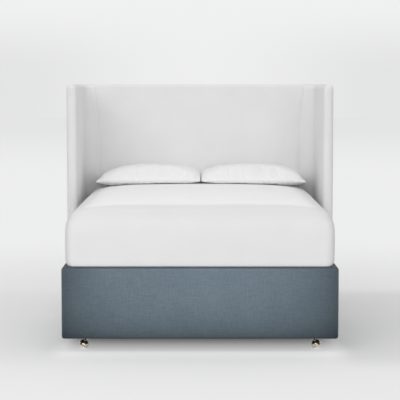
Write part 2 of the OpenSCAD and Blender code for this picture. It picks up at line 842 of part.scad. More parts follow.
module pillow_form(cx, inset) {
    n = pillow_cols + 1;
    m = pillow_rows + 1;
    points = concat(pillow_face(cx, inset, true), pillow_face(cx, inset, false));
    function rim(i, j) = i == 0 || i == pillow_cols || j == 0 || j == pillow_rows;
    function at(i, j, low) = j * n + i + (low && !rim(i, j) ? n * m : 0);
    function corners(i, j, low) =
        [at(i, j, low), at(i + 1, j, low), at(i + 1, j + 1, low), at(i, j + 1, low)];
    // The triangles of each quarter run towards its own tip
    function cell(i, j, low) = let (p = corners(i, j, low))
        (i < pillow_cols / 2) != (j < pillow_rows / 2)
            ? [[p[0], p[3], p[1]], [p[1], p[3], p[2]]]
            : [[p[0], p[2], p[1]], [p[0], p[3], p[2]]];
    cells = [for (j = [0 : pillow_rows - 1]) for (i = [0 : pillow_cols - 1]) [i, j]];
    low = [for (c = cells) for (t = cell(c[0], c[1], true)) [t[2], t[1], t[0]]];
    top = [for (c = cells) each cell(c[0], c[1], false)];
    polyhedron(points, concat(low, top));
}

module pillow_case(cx) {
    color(white_linen) difference() {
        pillow_form(cx, 0);
        pillow_form(cx, pillow_case_t);
    }
}

module pillow_insert(cx) {
    color(white_cloth) pillow_form(cx, pillow_case_t + lay_gap);
}

module left_pillow_insert() { pillow_insert(pillow_shift - pillow_offset); }
module left_pillow_case() { pillow_case(pillow_shift - pillow_offset); }
module right_pillow_insert() { pillow_insert(pillow_shift + pillow_offset); }
module right_pillow_case() { pillow_case(pillow_shift + pillow_offset); }

foot_lower_frame();
foot_upper_frame();
foot_posts();
foot_side_boards();
foot_deck_board();
foot_padding();
foot_upholstery();
foot_dust_cover();
head_lower_frame();
head_upper_frame();
head_posts();
head_side_boards();
head_deck_board();
head_padding();
head_upholstery();
head_dust_cover();
castor_blocks();
castor_sockets();
link_plates();
wing_straps();
underside_screws();
back_frame();
back_board();
back_padding();
back_cover();
back_lining();
left_wing_frame();
left_wing_padding();
left_wing_cover();
right_wing_frame();
right_wing_padding();
right_wing_cover();
headboard_bolts();
mattress_core();
mattress_comfort_layer();
mattress_ticking();
duvet();
left_pillow_insert();
left_pillow_case();
right_pillow_insert();
right_pillow_case();
castor_1_left_hood();
castor_1_left_ball();
castor_1_right_hood();
castor_1_right_ball();
castor_2_left_hood();
castor_2_left_ball();
castor_2_right_hood();
castor_2_right_ball();
castor_3_left_hood();
castor_3_left_ball();
castor_3_right_hood();
castor_3_right_ball();
castor_4_left_hood();
castor_4_left_ball();
castor_4_right_hood();
castor_4_right_ball();
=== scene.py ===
import json
import math

import bmesh
import bpy
import numpy as np
from mathutils import Matrix, Vector, noise


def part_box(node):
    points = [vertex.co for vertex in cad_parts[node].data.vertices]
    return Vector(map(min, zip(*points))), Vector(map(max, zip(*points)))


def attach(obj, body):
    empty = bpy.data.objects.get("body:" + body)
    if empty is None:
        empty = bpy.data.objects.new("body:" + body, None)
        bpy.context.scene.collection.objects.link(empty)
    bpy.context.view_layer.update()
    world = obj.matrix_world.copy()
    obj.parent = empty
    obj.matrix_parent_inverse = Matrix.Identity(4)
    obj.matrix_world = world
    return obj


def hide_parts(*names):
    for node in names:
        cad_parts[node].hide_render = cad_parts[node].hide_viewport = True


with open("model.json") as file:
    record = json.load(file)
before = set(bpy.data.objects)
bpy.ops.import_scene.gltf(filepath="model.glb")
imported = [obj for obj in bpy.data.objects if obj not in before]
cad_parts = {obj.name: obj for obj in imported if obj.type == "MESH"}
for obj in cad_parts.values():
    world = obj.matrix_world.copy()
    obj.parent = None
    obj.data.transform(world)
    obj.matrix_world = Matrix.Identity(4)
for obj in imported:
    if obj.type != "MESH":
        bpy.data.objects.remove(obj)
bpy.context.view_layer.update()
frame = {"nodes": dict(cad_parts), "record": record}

MM = 0.001


OUTWARD = {"left": -1, "right": 1}
CASTORS = [(number, side) for number in range(1, 5) for side in OUTWARD]


def grey(value):
    return value, value, value


# Camera
CAMERA_LENS_MM = 135
CAMERA_SENSOR_MM = 36
CAMERA_PLACE = (0, -9.517, 1.515)
HORIZON_ABOVE_MIDDLE_PX = 115
FRAME_PX = 400

# Lamps: place, target, width and height in metres, and power in watts
LAMPS = {
    "key_softbox": ((-3.2, -8.4, 4.0), (0.0, 0.0, 0.7), (5.0, 3.4), 185),
    "front_softbox": ((2.5, -11.2, 1.6), (0.0, 0.0, 0.7), (5.0, 3.0), 130),
    "top_softbox": ((0.0, -2.2, 4.4), (0.0, -0.2, 0.3), (3.4, 2.6), 10),
}

# Floor: its rings, and its colour near and far, as it is seen and as it lights the bed
FLOOR_RINGS = (60.0, 20.0, 8.0, 3.0, 1.0)
FLOOR_STEPS = 96
FLOOR_SEEN = (0.56, 0.56, 0.562)
FLOOR_BOUNCE = (0.60, 0.60, 0.602)
FAR_SEEN = (0.85, 0.852, 0.856)
FAR_BOUNCE = grey(0.40)

# Distances over which the near floor turns into the far one, and that into the backdrop
FLOOR_FADE = (1.1, 5.5)
FAR_FADE = (12, 45)

# Glow of the open floor and of the floor under the bed, painted light that shapes the bed's soft shadow:
# from and to which distance inside the edge of the base it changes, and its strength at both. Beside the
# bed it drops to the right as a painted shadow.
OPEN_GLOW = (-0.30, 0.05, 0.26, 0.40)
UNDER_GLOW = (0.12, 0.50, 0.40, 0.12)
BESIDE_X = (-0.1, 0.08, 1.0, 0.0)
SIDE_DROP_Y = (-0.6, -0.1)
SIDE_DROP = (-1.0, 1.0, 0.03, 0.09)

# World: the backdrop in the middle, at the sides and high up, the strength of the light from below
# and above, and the dark room in front that metal mirrors
BACKDROP = (0.86, 0.862, 0.866)
BACKDROP_SIDE = (0.775, 0.777, 0.78)
BACKDROP_HIGH = (0.87, 0.872, 0.876)
BACKDROP_SPREAD = (0.0, 0.13)
BACKDROP_RISE = (0.008, 0.055)
SKY = (-0.1, 1.0, 0.66, 0.86)
DARK_ROOM = (0.035, 0.035, 0.037)
ROOM_TURN = (-0.10, 0.30)

# Shade painted into the cloths' colour: strength and reach at the sides and the hem of the base, the
# share that its top keeps, and the shares that the duvet keeps on slopes, gains on top as a painted
# highlight and loses at its sides
SIDE_SHADE = (0.58, 0.19)
HEM_SHADE = (0.61, 0.113)
TOP_SHADE = (0.30, 0.95, 1.0, 0.45)
SLOPE_KEEP = (0.0, 0.70, 1.0, 0.885)
CROWN_GAIN = (0.955, 1.0, 0.0, 0.195)
FLANK_LOSS = (0.3, 0.9, 0.0, 0.10)

# Yarns and patterns of the cloths
YARN_L = 55 * MM
YARN_PITCHES = 2.2
YARN_SEEDS = (3.1, 7.7)
SLUB_L = 46 * MM
SLUB_W = 7 * MM
SLUB_SEEDS = (11.3, 17.9)
HEIGHT_SHARE = 0.34
CLOUD_SHARE = 0.30
CLOTH_ROUGH = (0.81, 0.94)
FELT_PITCH = 2.6 * MM
TAPE_RIB = 1.1 * MM

# Padded base
BASE_EDGE_R = 20 * MM
BASE_STEP = 26 * MM
BASE_PULL = 2.2 * MM
PULL_FADE = (0.45, 1.0)
BASE_WAVE = 0.7 * MM
BASE_WAVE_L = 230 * MM
BASE_WAVE_SINK = 0.6
SEAM_DEPTH = 1.4 * MM
HALF_TOUCH = 0.8 * MM
TOUCH_FADE = (0.2, 0.8)
HEM_ROLL = 7 * MM
HEM_ROLL_W = 40 * MM
HEM_ROLL_H = 60 * MM

# Headboard. LEAN has the height from which the seam of the hollow corner leans out, and how far
PANEL_EDGE_R = 20 * MM
PANEL_STEP = 30 * MM
PANEL_SEAM_SHARE = 0.6
PANEL_WAVE_L = 270 * MM
PANEL_SEED = 4.0
FOOT_POWER = 9
WING_R = 32 * MM
WING_STEP = 24 * MM
WING_LOW_R = 4 * MM
WING_LOW_STEPS = 3
WING_TOP_ANGLE = 82
WING_ROUND_STEPS = 8
WING_WAVE_L = 240 * MM
WING_SEED = 9.0
WING_SLACK_FADE = (30 * MM, 80 * MM)
COVE_START_Z = 493 * MM
COVE_LEDGE_H = 0.5 * MM
COVE_PROUD = 6 * MM
COVE_STEPS = 10
COVE_TOP_PULL = 26 * MM
LIP_R = 4 * MM
LIP_SHARES = ((1.0, 0.97), (1.0, 0.55), (0.7, 0.16))
SEAM_X = 700 * MM
LEAN = {"left": (850 * MM, 37 * MM), "right": (1150 * MM, 30 * MM)}
LEAN_TOP_Z = 1500 * MM
PADDING_WAVE = 0.8 * MM
PADDING_SINK = 0.8

# Mattress
MATTRESS_CORNER_R = 60 * MM
MATTRESS_EDGE_R = 45 * MM
MATTRESS_EDGE_STEPS = 8
MATTRESS_RING_SHARES = (0.4, 0.25, 0.12)
TUFT_PITCH = 110 * MM
TUFT_DEPTH = 0.8 * MM
TICKING_SINK = 1 * MM
TAPE_UP = 16 * MM
TAPE_R = 2.2 * MM
TAPE_SUNK_SHARE = 0.6

# Duvet. Turns are radians of a fold's wave for each metre along the cloth
DUVET_SHOULDER_Z = 661.8 * MM
DUVET_FALL = 26 * MM
DUVET_END_R = 95 * MM
DUVET_END_SLOPE = 6
DUVET_END_POWER = 6
DUVET_RISE_POWER = 10
DUVET_ROUND_POWER = 2.5
DUVET_CORNER_R = 56 * MM
DUVET_MIDDLE_L = 407 * MM
DUVET_MIDDLE_SHARE = 0.01
DUVET_ACROSS = 40
DUVET_ALONG = 54
DUVET_CORNER_STEPS = 9
DUVET_STEP = 17 * MM
DUVET_SAMPLES = 8001
ROUNDEST_SHARE = 0.98
DUVET_WALL_ROWS = 11
DUVET_HEM_IN = 26 * MM
DUVET_HEM_H = 44 * MM
DUVET_HEM_END_SHARE = 0.15
DUVET_HEM_STEPS = 8
DUVET_TUCK = 80 * MM
DUVET_TUCK_T = 3.6 * MM
DUVET_TUCK_CORNER_R = 5 * MM
DUVET_SIDE_T = 7.6 * MM
DUVET_LINING_ROUND = ((0 * MM, 25 * MM), (10 * MM, 8 * MM), (30 * MM, -0.4 * MM))
DUVET_SLACK = 2.6 * MM
DUVET_SLACK_L = 210 * MM
DUVET_SLACK_STRETCH = 0.45
DUVET_SLACK_SINK = 0.55
DUVET_SIDE_SLACK_SHARE = 0.25
DUVET_FINE_SLACK = 0.8 * MM
DUVET_FINE_L = 90 * MM
DUVET_FINE_STRETCH = 0.7
DUVET_FINE_SINK = 0.6
DUVET_SEEDS = (2.0, 5.0)
DUVET_FOLD = 0.9 * MM
DUVET_FOLD_TURNS = 61
DUVET_FOLD_TOP = 160 * MM
DUVET_WANDER = 4
DUVET_WANDER_L = 300 * MM
DUVET_HEM_FADE = 50 * MM

# Pillows. PILLOW_U and PILLOW_V have the powers that round their sections along and across
PILLOW_REST_GAP = 1.2 * MM
PILLOW_COLS = 96
PILLOW_ROWS = 64
PILLOW_TIP_RISE = 5 * MM
PILLOW_SEAM_RISE = 46 * MM
PILLOW_FRONT_RISE = 15 * MM
PILLOW_CROWN = 62 * MM
PILLOW_SINK_SHARE = 1.6
PILLOW_U = (2.4, 0.62)
PILLOW_V = (2.2, 0.58)
PILLOW_OUTER_POWER = {"left": 2.0, "right": 3.2}
PILLOW_TIP_POWER = 0.6
PILLOW_TIP_ROUND = 6
PILLOW_BLUNT_ROUND = 4
PILLOW_END_DRAWN = 0.03
PILLOW_SIDE_DRAWN = 0.075
PILLOW_SHY = 2 * MM
PILLOW_RIM_T = 8 * MM
PILLOW_SEEDS = {"left": 3.0, "right": 8.0}
PILLOW_EDGE_FADE = (0.55, 1.0)
PILLOW_HOLLOW = 2.0 * MM
PILLOW_HOLLOW_L = 120 * MM
PILLOW_GATHER = 1.3 * MM
PILLOW_GATHER_L = 50 * MM
PILLOW_GATHER_TURNS = 150
PILLOW_WANDER = 4
PILLOW_WANDER_L = 70 * MM
PILLOW_HELD_SHARE = 0.975
PILLOW_SIDE_ROOM = 0.5 * MM
PILLOW_FRONT_ROOM = 4 * MM
PILLOW_BACK_ROOM = 1 * MM
PILLOW_VOXEL = 6 * MM
PILLOW_CAP = 9 * MM
RIDGE_W = 4 * MM
RIDGE_T = 1.2 * MM
RIDGE_ROOT = 4 * MM
RIDGE_EDGE_SHARE = 0.6
RIDGE_MIDDLE_SHARE = 0.2
RIDGE_STEPS = 64
CLOTH_FRAMES = 20
CLOTH = {
    "use_pressure": True, "uniform_pressure_force": 3.0, "shrink_min": -0.03, "mass": 0.25,
    "tension_stiffness": 12, "compression_stiffness": 12, "bending_stiffness": 0.4,
}

# Castors: the hood, its lip, the neck with its collar and stem, the axle and the ball
HOOD_R = 28 * MM
HOOD_IN_R = 26 * MM
HOOD_SKIRT = 7 * MM
HOOD_TILT = 30
LIP_BEAD_R = 1.3 * MM
LIP_BEAD_DROP = 0.4 * MM
TRAIL = 14 * MM
NECK_R = 8 * MM
NECK_START = 14 * MM
COLLAR_R = 11 * MM
COLLAR_H = 5 * MM
COLLAR_ROUND = 0.6 * MM
COLLAR_FILLET = 0.8 * MM
NECK_FILLET_H = 2.5 * MM
STEM_R = 5 * MM
STEM_CHAMFER = 1 * MM
AXLE_R = 3 * MM
AXLE_PLAY = 0.1 * MM
AXLE_HEAD_R = 4.5 * MM
AXLE_HEAD_CHAMFER = 0.8 * MM
AXLE_HEAD_SUNK = 1 * MM
AXLE_HEAD_T = (0.5 * MM, 1.3 * MM, 1.6 * MM)
AXLE_SEAT = 0.4 * MM
BALL_FLAT_R = 6 * MM
BALL_CHAMFER = (0.4 * MM, 1.2 * MM)
STEM_HOLE_R = 16 * MM
STEM_HOLE_DEPTH = 10 * MM

# Steps round the turned forms of a castor, and along the arcs of their profiles
BALL_STEPS, NECK_STEPS, PIN_STEPS = 64, 40, 32
BALL_ARC, HOOD_ARC, HOOD_IN_ARC, BEAD_ARC = 32, 24, 16, 6
BEAD_FROM, BEAD_TO = math.radians(30), -math.pi

# Linings and staples
SHEET_STEP = 40 * MM
STAPLE_INSET = 12 * MM
STAPLE_PITCH = 70 * MM
STAPLE_HALF_W = 5.5 * MM
STAPLE_WIRE = 0.6 * MM
STAPLE_PROUD = 0.45 * MM
STAPLE_TOP_SHARES = (0.9, 0.8)

# Points closer than this to a level count as on it
NEAR = 1 * MM

# Distances within which points of a mesh are welded
WELD = 0.01 * MM
WELD_SHEET = 0.02 * MM
WELD_CLOTH = 0.05 * MM
WELD_WING = 0.1 * MM

BASE_LOW, BASE_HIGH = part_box("foot_upholstery")


def set_all(target, **values):
    for key, value in values.items():
        setattr(target, key, value)


def fade(value, low, high):
    """Smooth share from 0 at low to 1 at high."""
    t = min(1.0, max(0.0, (value - low) / (high - low)))
    return t * t * (3 - 2 * t)


def ripple(p, size, seed=0.0):
    """Smooth noise from about -1 to 1 at the point p, with waves about size metres long."""
    return noise.noise(Vector((p[0] / size, p[1] / size, p[2] / size + seed)))


# Materials


class Graph:
    """Shader nodes of a material or of the world, each made by one call."""

    def __init__(self, owner):
        self.owner = owner
        owner.use_nodes = True
        self.tree = owner.node_tree
        self.shader = self.tree.nodes.get("Principled BSDF")
        self.coords = self.node("TexCoord").outputs
        self.spot = self.coords["Object"]
        self.facing = self.coords["Normal"]

    def node(self, kind, inputs=None, **settings):
        made = self.tree.nodes.new("ShaderNode" + kind)
        set_all(made, **settings)
        for key, value in (inputs or {}).items():
            self.put(made.inputs[key], value)
        return made

    def put(self, socket, value):
        if isinstance(value, bpy.types.NodeSocket):
            self.tree.links.new(value, socket)
        else:
            socket.default_value = (*value, 1) if socket.type == "RGBA" else value

    def math(self, operation, a, b=0.0):
        return self.node("Math", {0: a, 1: b}, operation=operation).outputs[0]

    def add(self, a, b):
        return self.math("ADD", a, b)

    def sub(self, a, b):
        return self.math("SUBTRACT", a, b)

    def mul(self, a, b):
        return self.math("MULTIPLY", a, b)

    def size(self, a):
        return self.math("ABSOLUTE", a)

    def wave(self, a, pitch):
        return self.math("SINE", self.mul(a, math.pi / pitch))

    def split(self, vector):
        return self.node("SeparateXYZ", {0: vector}).outputs

    def mix(self, share, a, b, blend="MIX"):
        made = self.node("Mix", {0: share, 6: a, 7: b}, data_type="RGBA", blend_type=blend)
        return made.outputs[2]

    def shaded(self, color, keep):
        """A colour times a grey of the given strength."""
        grey = self.node("CombineColor", {0: keep, 1: keep, 2: keep}).outputs[0]
        return self.mix(1.0, color, grey, "MULTIPLY")

    def ramp(self, value, low, high, out_low=0.0, out_high=1.0):
        ends = {"Value": value, "From Min": low, "From Max": high, "To Min": out_low, "To Max": out_high}
        return self.node("MapRange", ends, interpolation_type="SMOOTHSTEP").outputs[0]

    def place(self, stretch=(1, 1, 1)):
        return self.node("Mapping", {"Vector": self.spot, "Scale": stretch}).outputs[0]

    def noise(self, scale, detail=2.0, vector=None, rough=0.5):
        inputs = {"Vector": vector or self.place(), "Scale": scale, "Detail": detail, "Roughness": rough}
        return self.node("TexNoise", inputs).outputs["Fac"]

    def cloth_plane(self):
        """Two coordinates along the cloth, in metres, on the side that the surface faces."""
        x, y, z = self.split(self.spot)
        faces = self.node("VectorMath", {0: self.facing}, operation="ABSOLUTE")
        nx, ny, nz = self.split(faces.outputs[0])
        faces_x = self.math("GREATER_THAN", nx, self.math("MAXIMUM", ny, nz))
        faces_up = self.math("GREATER_THAN", nz, self.math("MAXIMUM", nx, ny))
        u = self.add(x, self.mul(faces_x, self.sub(y, x)))
        v = self.add(y, self.mul(self.sub(1.0, faces_up), self.sub(z, y)))
        return u, v

    def weave(self, u, v, pitch):
        """Height of a plain weave, from 0 between the yarns to 1 on top of one, and a share that
        tells which of the two yarns lies on top."""
        a, b = self.wave(u, pitch), self.wave(v, pitch)
        over = self.ramp(self.mul(a, b), -0.35, 0.35)
        warp = self.mul(self.size(a), over)
        weft = self.mul(self.size(b), self.sub(1.0, over))
        return self.add(warp, weft), over

    def yarns(self, u, v, length, width, seed):
        """Streaks of noise along u that tell one yarn from the next."""
        at = {0: self.math("DIVIDE", u, length), 1: self.math("DIVIDE", v, width), 2: seed}
        return self.noise(1.0, vector=self.node("CombineXYZ", at).outputs[0])

    def bump(self, height, distance, strength=1.0, under=None):
        made = self.node("Bump", {"Height": height, "Distance": distance, "Strength": strength})
        if under:
            self.put(made.inputs["Normal"], under)
        return made.outputs[0]

    def finish(self, color, normal=None, **values):
        """Sets the shader's inputs, named in small letters, and gives the material."""
        values["base_color"] = color
        if normal:
            values["normal"] = normal
        for key, value in values.items():
            self.put(self.shader.inputs[key.replace("_", " ").title().replace("Ior", "IOR")], value)
        return self.owner


def surface(name):
    return Graph(bpy.data.materials.new(name))


def painted_base_shade(g, color):
    """Painted shade: the base's cloth is painted darker towards its side edges and its hem, and on its
    top under the duvet's edge.
    """
    x, y, z = g.split(g.spot)
    nx, ny, nz = g.split(g.facing)
    from_side = g.sub(BASE_HIGH[0], g.size(x))
    side = g.math("EXPONENT", g.math("DIVIDE", from_side, -SIDE_SHADE[1]))
    side = g.mul(g.mul(side, SIDE_SHADE[0]), g.size(ny))
    hem = g.math("EXPONENT", g.math("DIVIDE", g.sub(z, BASE_LOW[2]), -HEM_SHADE[1]))
    hem = g.mul(hem, HEM_SHADE[0])
    keep = g.mul(g.sub(1.0, side), g.sub(1.0, hem))
    return g.shaded(color, g.mul(keep, g.ramp(nz, *TOP_SHADE)))


def painted_duvet_shade(g, color):
    """Painted shade: the duvet's cloth is painted a little darker over its rounded edges and its sides,
    with a painted highlight on its crown.
    """
    nx, ny, nz = g.split(g.facing)
    keep = g.add(g.ramp(nz, *SLOPE_KEEP), g.ramp(nz, *CROWN_GAIN))
    return g.shaded(color, g.sub(keep, g.ramp(g.size(nx), *FLANK_LOSS)))


def woven(name, dark, light, pitch, depth, streak, sheen, crumple, slub=0.0, shade=None):
    """Woven cloth in two close tones, with uneven yarns and a slack that bends the light. sheen is
    its strength and tint, and crumple the scale and the height of the slack."""
    g = surface(name)
    u, v = g.cloth_plane()
    height, over = g.weave(u, v, pitch)
    across = g.yarns(u, v, YARN_L, YARN_PITCHES * pitch, YARN_SEEDS[0])
    along = g.yarns(v, u, YARN_L, YARN_PITCHES * pitch, YARN_SEEDS[1])
    yarn = g.add(g.mul(across, g.sub(1.0, over)), g.mul(along, over))
    tone = g.add(g.mul(yarn, streak), g.mul(height, HEIGHT_SHARE))
    tone = g.add(tone, g.mul(g.noise(5.5, 3.0), CLOUD_SHARE))
    if slub:
        thick = g.yarns(u, v, SLUB_L, SLUB_W, SLUB_SEEDS[0])
        thick = g.add(thick, g.yarns(v, u, SLUB_L, SLUB_W, SLUB_SEEDS[1]))
        tone = g.add(tone, g.mul(g.sub(thick, 1.0), slub))
    color = g.mix(g.ramp(tone, 0.1, HEIGHT_SHARE + CLOUD_SHARE + streak), dark, light)
    # Painted shade, where a shade function is given
    if shade:
        color = shade(g, color)
    normal = g.bump(g.noise(crumple[0], 4.0, rough=0.45), crumple[1])
    return g.finish(
        color,
        g.bump(height, depth, 0.9, normal),
        roughness=g.ramp(yarn, 0.3, 0.7, *CLOTH_ROUGH),
        sheen_weight=sheen[0],
        sheen_roughness=0.45,
        sheen_tint=sheen[1],
        specular_ior_level=0.18,
    )


def timber_material():
    g = surface("pine timber")
    grain = g.noise(9.0, 3.0, g.place((0.7, 0.7, 5.0)))
    fine = g.noise(160.0, 2.0, g.place((0.06, 0.06, 1.0)))
    rings = g.math("FRACT", g.mul(grain, 9.0))
    tone = g.add(g.mul(rings, 0.6), g.mul(fine, 0.4))
    color = g.mix(g.ramp(tone, 0.1, 0.95), (0.56, 0.37, 0.19), (0.78, 0.60, 0.38))
    return g.finish(color, g.bump(tone, 0.4 * MM, 0.5), roughness=0.62)


def board_material():
    g = surface("hardboard")
    fibre = g.noise(240.0, 4.0)
    tone = g.add(g.mul(fibre, 0.7), g.mul(g.noise(7.0), 0.3))
    color = g.mix(g.ramp(tone, 0.3, 0.7), (0.19, 0.11, 0.06), (0.33, 0.21, 0.12))
    return g.finish(color, g.bump(fibre, 0.3 * MM, 0.6), roughness=0.7)


def felt_material(name, dark, light):
    """Non-woven lining with its embossed dots and loose fibres."""
    g = surface(name)
    u, v = g.cloth_plane()
    a, b = g.wave(g.add(u, v), FELT_PITCH), g.wave(g.sub(u, v), FELT_PITCH)
    dots = g.ramp(g.mul(a, b), 0.35, 0.7)
    fibre = g.noise(700.0, 3.0)
    tone = g.add(g.mul(fibre, 0.8), g.mul(g.noise(14.0, 3.0), 0.2))
    color = g.mix(g.ramp(tone, 0.25, 0.75), dark, light)
    height = g.sub(g.mul(fibre, 0.5), dots)
    return g.finish(color, g.bump(height, 0.2 * MM, 0.8), roughness=0.9)


def steel_material():
    g = surface("zinc plated steel")
    spangle = g.node("TexVoronoi", {"Vector": g.place(), "Scale": 140.0}).outputs["Color"]
    tone = g.node("SeparateColor", {0: spangle}).outputs[0]
    wear = g.noise(30.0, 4.0)
    color = g.mix(g.ramp(tone, 0.0, 1.0), (0.50, 0.52, 0.54), (0.66, 0.67, 0.68))
    rough = g.ramp(wear, 0.3, 0.7, 0.3, 0.48)
    return g.finish(color, g.bump(wear, 0.1 * MM, 0.3), roughness=rough, metallic=1.0)


def brass_material(name, dark, light):
    g = surface(name)
    scratch = g.noise(900.0, 2.0, g.place((1.0, 0.12, 1.0)))
    haze = g.noise(60.0, 3.0)
    color = g.mix(g.ramp(haze, 0.3, 0.75), dark, light)
    rough = g.ramp(haze, 0.3, 0.7, 0.09, 0.17)
    return g.finish(color, g.bump(scratch, 0.02 * MM, 0.25), roughness=rough, metallic=1.0)


def piping_material():
    g = surface("white border tape")
    rib = g.wave(g.add(*g.cloth_plane()), TAPE_RIB)
    color = g.mix(g.ramp(rib, -1.0, 1.0), (0.72, 0.72, 0.71), (0.82, 0.82, 0.81))
    return g.finish(color, g.bump(rib, 0.2 * MM, 0.7), roughness=0.8)


WHITE_SHEEN = (0.1, (1, 1, 1))
PERCALE = {
    "pitch": 0.5 * MM, "depth": 0.08 * MM, "streak": 0.25,
    "sheen": WHITE_SHEEN, "crumple": (9.0, 1.6 * MM),
}
# Its colour carries painted shade at its side edges, its hem and its top
blue_cloth = woven(
    "blue grey woven cloth", (0.130, 0.176, 0.212), (0.240, 0.305, 0.360),
    pitch=1.5 * MM, depth=0.45 * MM, streak=0.5, sheen=(0.12, (0.75, 0.83, 0.9)),
    crumple=(6.0, 1.2 * MM), slub=0.4, shade=painted_base_shade,
)
white_cloth = woven(
    "white upholstery cloth", grey(0.745), grey(0.86),
    pitch=1.0 * MM, depth=0.25 * MM, streak=0.3, sheen=(0.08, (1, 1, 1)),
    crumple=(5.0, 1.0 * MM),
)
percale = woven("white percale", grey(0.80), grey(0.87), **PERCALE)
# Its colour carries painted shade on its slopes and sides and a painted highlight on its crown
duvet_percale = woven("white duvet percale", grey(0.78), grey(0.85), shade=painted_duvet_shade, **PERCALE)
ticking = woven(
    "woven mattress ticking", (0.66, 0.67, 0.68), (0.80, 0.80, 0.79),
    pitch=0.9 * MM, depth=0.2 * MM, streak=0.5, sheen=WHITE_SHEEN, crumple=(12.0, 1.0 * MM),
)
timber = timber_material()
hardboard = board_material()
black_felt = felt_material("black dust cloth", (0.012, 0.012, 0.014), (0.035, 0.035, 0.04))
white_felt = felt_material("white lining cloth", (0.60, 0.60, 0.59), (0.74, 0.74, 0.73))
steel = steel_material()
brass = brass_material("polished pale brass", (0.90, 0.83, 0.74), (0.96, 0.91, 0.84))
# Painted shade: hood, neck and axle take a darker copy of the ball's brass, standing in for the dark
# underside of the bed that they mirror
housing_brass_painted_dark = brass_material("brass painted dark for shade", (0.64, 0.58, 0.51), (0.76, 0.71, 0.65))
border_tape = piping_material()

SLOT_MATERIALS = {"timber": timber, "board": hardboard, "steel": steel}


def finish_cad_nodes():
    """The hidden timbers, boards and steel keep their CAD shape under a better finish."""
    for part in frame["record"]["subparts"]:
        material = SLOT_MATERIALS.get(part["material_slot"])
        if material:
            for slot in frame["nodes"][part["node"]].material_slots:
                slot.material = material


# Mesh tools


def new_object(name, data):
    made = bpy.data.objects.new(name, data)
    bpy.context.scene.collection.objects.link(made)
    return made


def set_smooth(mesh, smooth=True):
    mesh.polygons.foreach_set("use_smooth", [smooth] * len(mesh.polygons))


def add_object(name, points, faces, material, smooth=True):
    mesh = bpy.data.meshes.new(name)
    mesh.from_pydata([tuple(p) for p in points], [], faces)
    mesh.update()
    set_smooth(mesh, smooth)
    mesh.materials.append(material)
    return new_object(name, mesh)


def tidy(obj, weld=0.0, smooth=True):
    """Welds points that lie on each other, where weld is set, and turns every face outward."""
    work = bmesh.new()
    work.from_mesh(obj.data)
    if weld:
        bmesh.ops.remove_doubles(work, verts=work.verts, dist=weld)
        bmesh.ops.dissolve_degenerate(work, edges=work.edges, dist=weld / 2)
    bmesh.ops.recalc_face_normals(work, faces=work.faces)
    work.to_mesh(obj.data)
    work.free()
    set_smooth(obj.data, smooth)
    return obj


def reshape(obj, moved):
    """Moves every point of a mesh: moved gets the point and its outward direction."""
    spots = [(v.co.copy(), v.normal.copy()) for v in obj.data.vertices]
    for vertex, (p, out) in zip(obj.data.vertices, spots):
        vertex.co = moved(p, out)
    obj.data.update()


def apply_modifiers(obj):
    graph = bpy.context.evaluated_depsgraph_get()
    mesh = bpy.data.meshes.new_from_object(obj.evaluated_get(graph))
    obj.modifiers.clear()
    obj.data = mesh


def dress(obj, body, nodes=()):
    """Puts a finished piece on its body and in place of the CAD nodes it stands for."""
    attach(obj, body)
    if nodes:
        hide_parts(*nodes)


def arc(r, start, end, steps):
    """Points on a circle about the origin, from one angle to another."""
    angles = [start + (end - start) * k / steps for k in range(steps + 1)]
    return [(r * math.cos(a), r * math.sin(a)) for a in angles]


def circle(r, steps):
    return arc(r, 0, 2 * math.pi, steps)[:-1]


def quarter_turn(steps, degrees=90):
    """Sine of each step of a turn, and one less its cosine."""
    return [(y, 1 - x) for x, y in arc(1, 0, math.radians(degrees), steps)[1:]]


def box_grid(counts):
    """Index triples and outward quads of the grid on a box's surface."""
    ends = [count - 1 for count in counts]
    index, quads = {}, []
    for a, (b, c) in enumerate(((1, 2), (0, 2), (0, 1))):
        for j in range(ends[b]):
            for k in range(ends[c]):
                ring = [(j, k), (j, k + 1), (j + 1, k + 1), (j + 1, k)]
                for end in (0, ends[a]):
                    turned = ring if (end > 0) == (a == 1) else ring[:1] + ring[:0:-1]
                    keys = [(*key[:a], end, *key[a:]) for key in turned]
                    quads.append(tuple(index.setdefault(key, len(index)) for key in keys))
    return list(index), quads


def ring_quads(width, count):
    """Quads between count rings of width points each."""
    faces = []
    for low in range(0, (count - 1) * width, width):
        up = low + width
        for k in range(width):
            n = (k + 1) % width
            faces.append((low + k, low + n, up + n, up + k))
    return faces


def edge_ticks(low, high, r, step, round_steps=6):
    """Places along one side of a padded box, close together over its rounded edges."""
    shares = [k / round_steps for k in range(round_steps + 1)]
    rounds = [r * (1 - math.tan(math.radians(45 * (1 - share)))) for share in shares]
    flat = max(1, round((high - low - 2 * r) / step))
    inner = [low + r + (high - low - 2 * r) * k / flat for k in range(1, flat)]
    return [low + t for t in rounds] + inner + [high - t for t in reversed(rounds)]


def padded_box(name, low, high, r, step, material, shape):
    """Box with round edges. shape moves each point: it gets the point, its outward direction,
    and how many edges of the plain box it lies on."""
    axes = [edge_ticks(low[a], high[a], r, step) for a in range(3)]
    keys, quads = box_grid([len(a) for a in axes])
    points = []
    for key in keys:
        raw = Vector([axes[a][key[a]] for a in range(3)])
        core = Vector([min(max(raw[a], low[a] + r), high[a] - r) for a in range(3)])
        out = (raw - core).normalized()
        on_edge = sum(key[a] in (0, len(axes[a]) - 1) for a in range(3)) - 1
        points.append(shape(core + out * r, out, on_edge))
    return add_object(name, points, quads, material)


